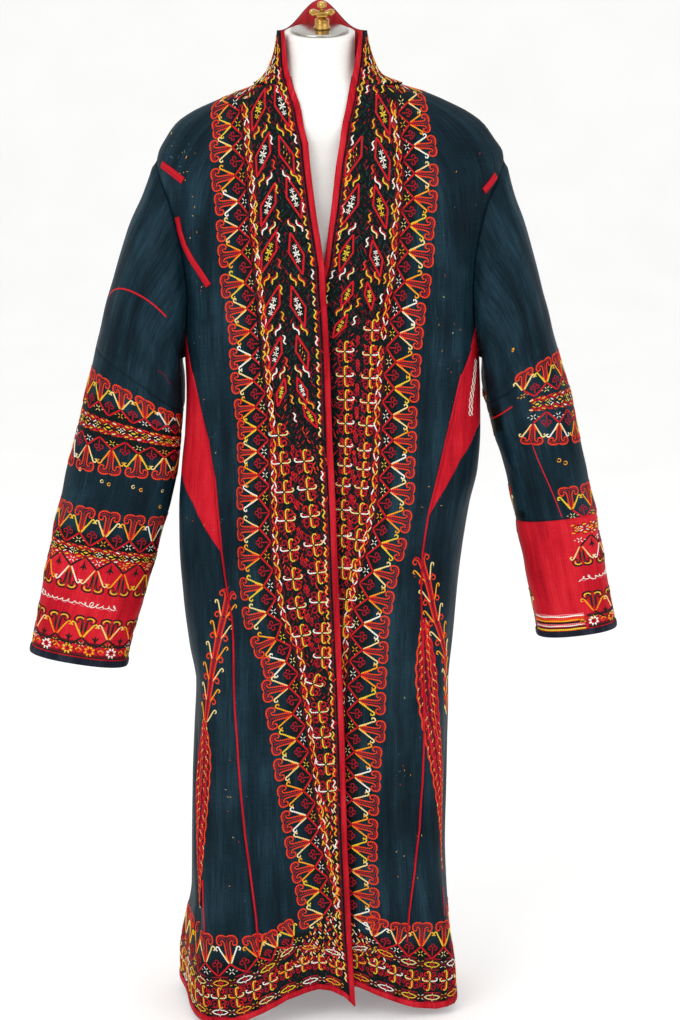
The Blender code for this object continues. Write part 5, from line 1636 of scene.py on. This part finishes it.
def squiggle_pair(name, middle, spot, flip, k):
    """Two squiggles side by side, slanting between one lozenge and the next."""
    angle = math.radians(30)
    slanted = spot.along * math.cos(angle) + spot.out * math.sin(angle)
    across = np.array([-slanted[1], slanted[0]])
    for way, colour in ((1, ("yellow", "white", "cream")[k % 3]),
                        (-1, ("white", "gold", "yellow")[(k + 1) % 3])):
        at = middle + across * (4.2 * way) * flip + slanted * (3.0 * way)
        squiggle(Spot(name, at, slanted, flip), colour, "crimson", 17)


def squiggles_beside(name, p, w, ahead, spot, flip, first):
    """Squiggles on both sides of an outer lozenge and half way to the next."""
    for j, share in enumerate((0.02, 0.5), first):
        at = p + ahead * share
        within = Spot(name, at - spot.out * 15.5, w, flip)
        squiggle(within, ("yellow", "cream", "gold", "white", "yellow")[j % 5], "maroon", 14)
        beyond = Spot(name, at + ahead * 0.2 + spot.out * 12.5, spot.along - spot.out * 0.12, flip)
        squiggle(beyond, ("gold", "white", "orange", "yellow")[j % 4], "maroon", 13)


def binding_columns():
    """Squiggles in a column beside each front's binding, on the yaka and below it."""
    heights = np.arange(1308.0, 34.0, -6.0)
    for side, end in YAKA_END.items():
        line = np.stack([across_front(side, EDGE, heights) + BINDING + 7.5, heights], axis=1)
        for name, run, ground in ((f"margin_upper_{side}", line[heights > end + 6], ON_COLLAR),
                                  (f"margin_lower_{side}", line[heights <= end - 2], 0.0)):
            group(name, COAT_CHARTS[side], ground)
            for k, (p, w) in enumerate(zip(*along_line(run, 6, 17.0))):
                tone = ("yellow", "gold", "white", "yellow", "cream")[k % 5]
                squiggle(Spot(name, p, w), tone, ("red", "maroon")[k % 2], 13)
            stitch(name, "maroon", offset_line(run, -4.6), 1.3, 0, False)


def lattice():
    """Hooked crosses close together on each front below the collar, with small leaves between."""
    for side, places in CROSSES.items():
        name = group(f"lattice_{side}", COAT_CHARTS[side])
        points = np.array(places, float)
        tones = pick(side, ("cream", "white"), ("white", "cream"))
        for p in points:
            near = points[np.argsort(np.linalg.norm(points - p, axis=1))[1:6]]
            along = [q - p for q in near if abs(q[1] - p[1]) > 22 and abs(q[0] - p[0]) < 14]
            w = along[0] if along else np.array([0.0, 1.0])
            size = min(1.0, np.linalg.norm(w) / 36.0) * 0.98 if along else 0.9
            hooked_cross(Spot(name, p, w * np.sign(w[1]), SIGN[side], size), "yellow", *tones)
        for p in points:
            for q in points:
                if 0 < q[0] - p[0] < 40 and abs(q[1] - p[1]) < 14:
                    for r, colour in ((-14.9, "red"), (-20.7, "crimson"), (20.1, "red"), (14.3, "crimson")):
                        teardrop(name, (p + q) / 2 + (0, r), colour)
        lattice_ground(side)


def lattice_ground(side):
    """Loose stitches round the crosses, and in all colours below the last whole ones."""
    name = group(f"lattice_ground_{side}", COAT_CHARTS[side])
    heights = np.arange(20.0, 1300.0, 10.0)
    edge = across_front(side, EDGE, heights) + BINDING + 2
    line = border_line(side, heights)
    seed = pick(side, 11, 12)
    tones = ("maroon", "crimson", "green", "red", "maroon", "crimson", "dark", "orange")
    flecks(name, heights, edge, line - 28.0, (44.0, YAKA_END[side] + pick(side, 96, 60)), 5.8, tones, seed)
    corner = np.interp(heights, (62.0, 150.0), pick(side, (66.0, 8.0), (86.0, 34.0)))
    line = np.where(heights < 146, corner, line - 14.0)
    for k, tones in enumerate((("crimson", "red", "maroon", "crimson", "dark"),
                               ("yellow", "white", "gold", "orange", "cream"))):
        flecks(name, heights, edge + 8, line - 4, (66.0, 306.0), 5.6 + 1.2 * k, tones, seed + 2 + 10 * k,
               0.45, 1.8, 2.2, k)


def fitting(line, pitch):
    """The pitch nearest to this one that fills the line, half a pitch free at both ends."""
    run = np.linalg.norm(np.diff(line, axis=0), axis=1).sum()
    return run / round(run / pitch)


def hem_bands():
    """The hem's border, its two guards of flat flowers and the row of crosses, all round the coat."""
    level, base_level = 87.0, 28.0
    for side, front in HEM_APEXES.items():
        chart, front = COAT_CHARTS[side], np.array(front, float)
        end = chart.away_of(math.pi, level)
        count = round((end - front[-1, 0]) / 36.0)
        rest = np.stack([np.linspace(front[-1, 0], end, count + 1)[1:], np.full(count, level)], axis=1)
        apexes = np.concatenate([front, rest])
        border(group(f"hem_border_{side}", chart), apexes, 1.0, first=pick(side, 1, 4))
        upper = bend(np.concatenate([[pick(side, (-22.0, 100.0), (30.0, 98.0))], apexes]), 4) - (0.0, 22.5)
        bands = group(f"hem_bands_{side}", chart)
        guard(bands, upper, fitting(upper, 33.0))
        base = np.stack([upper[:, 0], np.full(len(upper), base_level)], axis=1)
        guard(bands, base, fitting(base, 33.0), ("gold", "white", "yellow", "cream"), 4.6)
        crosses = (upper + base) / 2
        pitch = fitting(crosses, 25.0)
        for k, p in enumerate(along_line(crosses, pitch / 2, pitch)[0]):
            room = np.interp(p[0], upper[:, 0], upper[:, 1]) - base_level - 6.0
            spot = Spot(bands, p, (0.0, 1.0), 1.0, min(0.84, room / 30.0))
            hooked_cross(spot, "yellow", "cream", "white" if k % 3 else "gold")
            for r in (-7.0, 7.0):
                teardrop(bands, p + (13.0, r), "red" if k % 2 else "crimson")
        tones = ("green", "maroon", "dark", "crimson", "green", "maroon")
        flecks(bands, (20.0, 200.0), (upper[0, 0],) * 2, (end,) * 2, (34.0, 62.0), 7.0, tones,
               pick(side, 21, 22))


def side_ornaments():
    """Chains of small horned links down the side seams, before and behind, that end in spindles."""
    for side, front, spindle in (
            ("right", ((129, 592), (140, 530), (152, 470), (166, 406)),
             ((167, 420), (174, 330), (181, 250), (188, 150))),
            ("left", ((137, 640), (150, 600), (158, 566), (172, 530), (194, 480), (214, 420)),
             ((143, 560), (150, 480), (160, 400), (175, 290), (187, 190)))):
        chart = COAT_CHARTS[side]
        name = group(f"side_chains_{side}", chart)
        behind = chart.away_of(math.radians(128), 500.0)
        back = np.array([(behind - 14, 640), (behind - 6, 520), (behind, 420), (behind + 6, 170)], float)
        for line, start, tail, steps in ((front, 14, spindle, 8), (back[:3], 0, back[2:], 10)):
            for k, (p, w) in enumerate(zip(*along_line(bend(np.array(line, float), 6), start, 30.0))):
                link(Spot(name, p, -w), k)
            dense(name, bend(np.array(tail, float), steps))


def link(spot, k):
    """One link of a chain: two curled horns on a double stem, with a hook on each side."""
    stem = [(-16, 1.2), (0, 1.3), (14, 1.6)]
    horn = [(-15, 2.8), (0, 3.4), (10, 3.8), (15, 5.0), (18.5, 8.6), (16.5, 12.0), (12.5, 11.6), (11.6, 8.6),
            (13.8, 7.4)]
    tip = [(14, 1.6), (19, 3.4), (21, 7.0), (19, 10.4)]
    hook = [(-17, 3.2), (-8, 7.4), (0, 10.6), (4.5, 13.4), (2.5, 16.2), (-0.6, 14.4)]
    for side in (-1, 1):
        tone = ("cream", "gold")[(k + (side > 0)) % 2]
        spot.astride(("crimson", stem, 1.8, 0), ("orange", horn, 1.9, 1), ("red", tip, 1.7, 1),
                     (tone, hook, 1.8, 2), sides=(side,))


def dense(name, line):
    """A narrow spindle of close stitches that ends in a point."""
    at, way = along_line(line, 0, 3.0)
    out = across_way(way)
    way = way / np.linalg.norm(way, axis=1, keepdims=True)
    share = np.arange(len(at)) / max(1, len(at) - 1)
    swell = 17.0 * np.sqrt(np.clip(1 - share, 0, 1)) * smooth(0.25 + share * 3.0)
    for colour, place, width in (("orange", -1.0, 2.2), ("red", 1.0, 2.2), ("maroon", -0.78, 2.6),
                                 ("crimson", 0.76, 2.6), ("red", -0.52, 2.4), ("orange", 0.5, 2.0),
                                 ("crimson", -0.26, 2.4), ("red", 0.2, 2.4), ("maroon", 0.0, 2.4)):
        wave = place * swell + 0.9 * np.sin(np.arange(len(at)) * 0.9 + place * 3)
        stitch(name, colour, at + out * wave[:, None], width, 0, False)
    tones = ("gold", "red", "yellow", "orange", "cream", "orange", "red")
    for k in range(1, len(at) - 2):
        for side in (-1, 1):
            start = (0.1 + 0.7 * ((k * 5 + side) % 4) / 3) * swell[k] * side
            p = at[k] + out[k] * start
            q = p + way[k] * 4.6 + out[k] * side * 2.2
            stitch(name, tones[(k * 3 + side) % 7], [p, (p + q) / 2 + out[k] * side * 0.7, q], 1.6, 1)


def band_guard(name, line, pitch, wide=11.0):
    """The stripe between two rows of apexes: crossing red lines with dashes in yellow and white on them."""
    half = pitch / 2
    tones = ("white", "yellow", "gold", "cream", "yellow")
    for k, (p, w) in enumerate(zip(*along_line(line, 0.0, pitch))):
        spot = Spot(name, p, w)
        lines = [(colour, np.array([(-half, end), (0, middle), (half, end)]) * (1, wide), width, 0, False)
                 for colour, end, middle, width in (("maroon", 0.1, 0.62, 1.9), ("red", 0.34, 0.86, 1.7),
                                                    ("crimson", 0.98, 0.4, 1.6))]
        lines += [(colour, np.array(ends) * (1, wide), width, 1, False) for colour, ends, width in (
            (tones[k % 5], [(-6.4, 0.18), (-2.0, 0.44)], 2.1),
            (tones[(k + 1) % 5], [(6.4, 0.18), (2.0, 0.44)], 2.1),
            (tones[(k + 2) % 5], [(half - 3.4, 0.74), (half + 2.4, 0.6)], 2.0),
            (("orange", "gold")[k % 2], [(-half + 4.0, 0.9), (-half + 8.0, 0.74)], 1.8))]
        spot.astride(*lines)
        if k % 2 == 0:
            petals(spot, tones[(k + 3) % 5], 4, 3.6, 2.2, 0.8, 0.0)
        else:
            spot.line(tones[(k + 3) % 5], [(-3.0, 0), (3.0, 0)], 2.2, 1, False)


def sleeve_level(side, away, level, around):
    """How far down a sleeve a row runs there: the rows sink a little towards the outer side."""
    sway = pick(side, 7.0, 17.0) * (1.0 if level < ELBOW else 0.2)
    return level - sway * np.sin(away * 2 * math.pi / around)


ELBOW = 400.0  # how far down a sleeve its lower part begins
# Between these places nothing is stitched on the left sleeve, above the elbow and below it.
BARE_ABOVE, BARE_BELOW = (14.0, 92.0), (-11.0, 78.0)


def sleeves():
    """Two bands of horned borders on each sleeve, and the rows on the red lower pieces."""
    red_row = {"red": True, "horns": 0.9}
    for side, levels, starts in (("right", (280, 340, 455, 499, 595), (-16.0, -19.0, 0.0, 0.0, 2.0)),
                                 ("left", (243, 299, 441, 497, 596), (6.0, 4.0, -21.0, -24.0, -26.0))):
        chart = ARM_CHARTS[side]
        one = group(f"sleeve_band_{side}", chart)
        two = group(f"forearm_band_{side}", chart)
        low = group(f"cuff_rows_{side}", chart)
        first, second, third, joints, last = levels
        guards = {first: (one, (second - first) / 2, 17.4, 11.0),
                  third: (two, (joints - third) / 2 + 2, 16.8, 9.0)}
        rows = ((first, one, 35.0, -1.0, {}), (second, one, 35.0, 1.0, {}), (third, two, 33.5, -1.0, {}),
                (joints, low, 34.5, 1.0, red_row), (last, low, 34.5, -1.0, {**red_row, "cup": 12.0}))
        for start, (level, name, pitch, flip, kind) in zip(starts, rows):
            around = chart.around(level)
            count = round(around / pitch)
            away = start + (np.arange(count + 1) - count // 2) * around / count
            row = np.stack([away, sleeve_level(side, away, level, around)], axis=1)
            gap = BARE_ABOVE if level < ELBOW else BARE_BELOW
            for run in [row] if side == "right" else [row[away < gap[0]], row[away > gap[1]]]:
                if len(run) > 1:
                    border(name, run, flip, 0 if flip > 0 else 2, **kind)
                    if level in guards:
                        guard_name, down, step, wide = guards[level]
                        band_guard(guard_name, bend(run + (0, down), 3), step, wide)
        stripes(low, side)


def stripes(name, side):
    """What lies between the last row of horns and the cuff's dark binding."""
    around = ARM_CHARTS[side].around(612.0)
    full = np.arange(-around / 2, around / 2 + 2.0, 3.0)
    for span in [full] if side == "right" else [full[full < -12], full[full > 70]]:
        for k, at in enumerate(np.arange(span[0] + 12, span[-1] - 8, 30.0)):
            spot = Spot(name, (at, 612.0), (1.0, 0.0))
            petals(spot, ("gold", "white", "yellow")[k % 3], 8, 7.4, 3.4, 3.4, 22.5)
            petals(spot, "maroon", 4, 2.2, 2.2, 0.6, 0.0)
            for way in (-1, 1):
                for colour, x, y, end, layer in (
                        ("orange", 4.5, 0, 3.4, 1), ("gold", 4.5, 0, -3.4, 1), ("maroon", 7.5, 3.0, 7.2, 0),
                        ("crimson", 7.5, -3.0, -7.2, 0)):
                    spot.line(colour, [(15 + way * x, y * way), (15, end)], 1.8, layer, False)
        for down, colour in ((601.5, "maroon"), (603.8, "dark"), (620.0, "dark"), (617.6, "maroon")):
            stitch(name, colour, np.stack([span, np.full(len(span), down)], axis=1), 2.2, 0, False)
    if side == "left":
        span = full[(full > -12) & (full < 70)]
        for down, colour, width in ((598.5, "pink", 1.6), (601, "white", 1.8), (604.6, "orange", 2.6),
                                    (607.4, "gold", 2.0), (610.4, "dark", 2.6), (613.2, "pink", 1.6),
                                    (615.2, "white", 1.4), (618.0, "maroon", 2.4), (620.8, "yellow", 2.4),
                                    (622.8, "orange", 1.8)):
            wave = down + 0.35 * np.sin(span * 0.21 + down)
            stitch(name, colour, np.stack([span, wave], axis=1), width, 0, False)
    # A row of loose white chain stitch above the last horns, with no sign in it.
    t = np.arange(*pick(side, (-80.0, 40.0), (-70.0, -14.0)), 1.2)
    swing = 3.6 * np.interp(t, np.linspace(t[0], t[-1], 14), np.random.default_rng(5).uniform(0.4, 1.3, 14))
    lift = swing * np.cos(t * 0.8 + 0.9 * np.sin(t * 0.13))
    stitch(name, "white", np.stack([t + swing * np.sin(t * 0.8), 546 + lift], axis=1), 1.2, 2, False)
    stitch(name, "pink", np.stack([t + 2.0, 549 + 1.6 * np.sin(t * 0.5)], axis=1), 0.9, 1, False)


def sleeve_lines():
    """The thin red joining lines and the loose rings on the sleeves."""
    name = group("sleeve_lines_right", ARM_CHARTS["right"])
    stitch(name, "red", [(-114, 164), (-70, 130), (-25, 98), (21, 70)], 2.0)
    stitch(name, "maroon", [(30, 170), (45, 160), (60, 168)], 1.2)
    places = ((-22, 387), (-12, 389), (20, 386), (31, 388), (63, 386), (66, 408), (-58, 380))
    for k, at in enumerate(places):
        ring(name, at, "gold" if k % 2 else "cream", 2.2)
    name = group("sleeve_lines_left", ARM_CHARTS["left"])
    stitch(name, "red", [(106, 278), (66, 270), (25, 258)], 2.0)
    stitch(name, "red", [(13, 314), (9, 359), (0, 414), (-6, 452)], 1.3)
    for at in ((9, 151), (-18, 366), (-26, 372)):
        ring(name, at, "gold", 2.8)


def ring(name, at, colour, radius):
    turn = np.linspace(0, 5.6, 9)
    stitch(name, colour, np.array(at) + radius * np.stack([np.cos(turn), np.sin(turn)], axis=1), 1.2, 0)


def loose_ends():
    """Small specks of floss on the plain silk, and the white chains on the left gusset."""
    for side in ("right", "left"):
        name = group(f"specks_{side}", COAT_CHARTS[side])
        for _ in range(46):
            h = LUCK.uniform(160, 1190)
            a = float(np.interp(h, (160, 600, 900, 1190), (85, 125, 150, 165))) + abs(LUCK.normal(0, 26))
            turn = LUCK.uniform(0, math.pi)
            tone = ("gold", "teal", "cream", "orange", "teal")[int(LUCK.integers(5))]
            dash(name, tone, np.array([a, h]), turn, 1.3, 1.1)
        if side == "right":
            for _ in range(26):
                at = np.array([190.0, 1165.0]) + LUCK.normal(0, 12, 2) * (1.0, 1.6)
                way = LUCK.normal(0, 1.1, 2)
                tone = ("teal", "gold", "teal", "yellow")[int(LUCK.integers(4))]
                stitch(name, tone, [at - way, at + way], 1.1, 0, False)
        stitch(name, "red", pick(side, [(175, 193), (177, 119)], [(174, 174), (170, 132)]), 2.0)
    gusset_tongue(name)


def gusset_tongue(name):
    """The tongue of the left gusset that runs up beside the armhole, and its chains of white stitches."""
    low = np.array([(248, 1084), (256, 1042), (261, 1010), (249, 972), (233, 940), (220, 916)], float)
    up = np.array([(252, 1080), (261, 1042), (266, 1006), (262, 966), (262, 934), (248, 908)], float)
    for by in (0.0, 0.33, 0.66, 1.0):
        stitch(name, "red", low + (up - low) * by, 5.5, 0)
    chain = np.array([(238, 900), (229, 874), (220, 848), (218, 827)], float)
    for by in (-4.0, 0.0, 4.0):
        line = even(offset_line(bend(chain), by), 1.8)
        swing = np.sin(np.arange(len(line)) * 1.3 + by)
        stitch(name, "white", line + np.stack([swing * 1.6, swing * 0.4], axis=1), 1.3, 1, False)


def standing_collar():
    """Squiggles all round the collar's outer face, in rows that lean one way and then the other."""
    for side, chart in COAT_CHARTS.items():
        name = group(f"standing_collar_{side}", chart, ON_COLLAR)
        for j, height in enumerate(np.arange(1248.0, 1322.0, 12.5)):
            start, line = (across_front(side, k, np.array([height]))[0] for k in (EDGE, YAKA_LINE))
            start = start + BINDING + 5
            stop = chart.away_of(math.pi, height) if height > NECKLINE - 9 else line - 4
            for k, at in enumerate(np.arange(start + 4 * (j % 2), stop, 10.5)):
                spot = Spot(name, (at, height + 2.0 * (k % 2)), (0.35 if (j + k) % 2 else -0.35, 1.0))
                tone = ("yellow", "white", "gold", "yellow", "orange", "cream")[(2 * j + k) % 6]
                squiggle(spot, tone, ("maroon", "crimson", "red")[k % 3], 10.5)
            span = np.arange(start, stop, 2.4)
            if len(span) > 3:
                wave = np.stack([span, height + 6.2 + 1.6 * np.sin(span * 0.42)], axis=1)
                stitch(name, "crimson" if j % 2 else "maroon", wave, 1.6, 0, False)
        # Close stitches in all colours lie round the collar's seam, on both sides of it.
        heights = np.arange(1226.0, 1330.0, 4.0)
        back = chart.away_at(np.full(len(heights), math.pi), heights)
        line = across_front(side, YAKA_LINE, heights) + 2
        tones = ("red", "orange", "yellow", "crimson", "white", "red", "gold", "maroon")
        below = group(f"neck_ground_{side}", chart)
        low = (pick(side, 1240.0, 1247.0), NECKLINE - 14)
        high = (NECKLINE - 10, NECKLINE + 15)
        flecks(below, heights, line + 2, back, low, 4.6, tones, 31, 0.7, 1.9, 2.4)
        flecks(name, heights, line, back, high, 4.6, tones, 32, 0.7, 1.9, 2.4)


def embroider():
    front_borders()
    yaka()
    standing_collar()
    binding_columns()
    lattice()
    hem_bands()
    side_ornaments()
    sleeves()
    sleeve_lines()
    loose_ends()
    sew()


# The embroidery that goes with each cloth piece, by side.
EMBROIDERY = {
    "collar_cloth": ("yaka", "yaka_ground", "standing_collar", "guard_upper", "margin_upper"),
    "front_{}_cloth": ("border", "guard_lower", "margin_lower", "lattice", "lattice_ground", "specks",
                       "neck_ground"),
    "gore_{}_cloth": ("hem_border", "hem_bands", "side_chains"),
    "sleeve_{}_cloth": ("sleeve_band", "forearm_band", "sleeve_lines"),
    "cuff_piece_{}_cloth": ("cuff_rows",),
}


def declare_sheets():
    """Collects the thread objects sewn on every cloth piece, in a table that is not kept."""
    carried = {}
    for sheet, groups in EMBROIDERY.items():
        for side in ("right", "left"):
            sewn = [bpy.data.objects[f"{name}_{side}_thread"] for name in groups]
            carried.setdefault(sheet.format(side), []).extend(sewn)


def make_floor():
    """A pale floor that turns up far behind."""
    width, depth, near, across = 14.0, 8.0, -6.0, 9
    rows = [(near + (depth - near) * k / 20, 0.0) for k in range(21)]
    rows += [(depth + 3.0 * math.sin(t), 3.0 - 3.0 * math.cos(t)) for t in np.linspace(0.15, 1.57, 10)]
    rows += [(depth + 3.0, 3.0 + 1.2 * k) for k in range(1, 5)]
    points = np.array([(x, y, z) for y, z in rows for x in np.linspace(-width, width, across)])
    corners = [i * across + j for i in range(len(rows) - 1) for j in range(across - 1)]
    paint = plain("floor_paint", rgb(236, 236, 235), rgb(240, 240, 239), 0.8, scale=3.0)
    glow = paint.node_tree.nodes["Principled BSDF"]
    glow.inputs["Emission Color"].default_value = (1.0, 1.0, 1.0, 1.0)
    glow.inputs["Emission Strength"].default_value = 0.25
    faces = [(k, k + 1, k + across + 1, k + across) for k in corners]
    solid("floor", points, faces, paint, shift=0.0, scale=1.0)


def make_lights():
    """Soft light from above and both sides, in a pale room."""
    for name, at, size, power in (("key", (-2.2, -3.4, 3.4), 2.6, 70.0),
                                  ("fill", (2.8, -3.0, 2.2), 3.2, 36.0),
                                  ("top", (0.0, 0.4, 4.2), 3.0, 24.0)):
        light = bpy.data.lights.new(name, "AREA")
        light.size, light.energy = size, power
        made = into_scene(name, light)
        made.location = at
        made.rotation_euler = (Vector((0.0, 0.0, 0.75)) - Vector(at)).to_track_quat("-Z", "Y").to_euler()
    world = bpy.data.worlds.new("studio")
    world.use_nodes = True
    world.node_tree.nodes["Background"].inputs["Color"].default_value = (1.0, 1.0, 1.0, 1.0)
    world.node_tree.nodes["Background"].inputs["Strength"].default_value = 0.75
    bpy.context.scene.world = world


def make_camera():
    camera = bpy.data.cameras.new("camera")
    camera.lens, camera.sensor_width, camera.sensor_fit = 93.1, 36.0, "AUTO"
    made = into_scene("camera", camera)
    made.location = (0.0230, -3.5167, 1.358)
    made.rotation_euler = (math.radians(90 - 10.7), 0.0, 0.0)
    bpy.context.scene.camera = made


make_panels()
make_collar()
make_trims()
make_pipings()
make_sleeves()
make_strips()
make_form()
make_cap()
make_stem()
make_nut()
make_knob()
dress_stand()
embroider()
declare_sheets()
make_floor()
make_lights()
make_camera()
bpy.context.scene.view_settings.view_transform = "Standard"
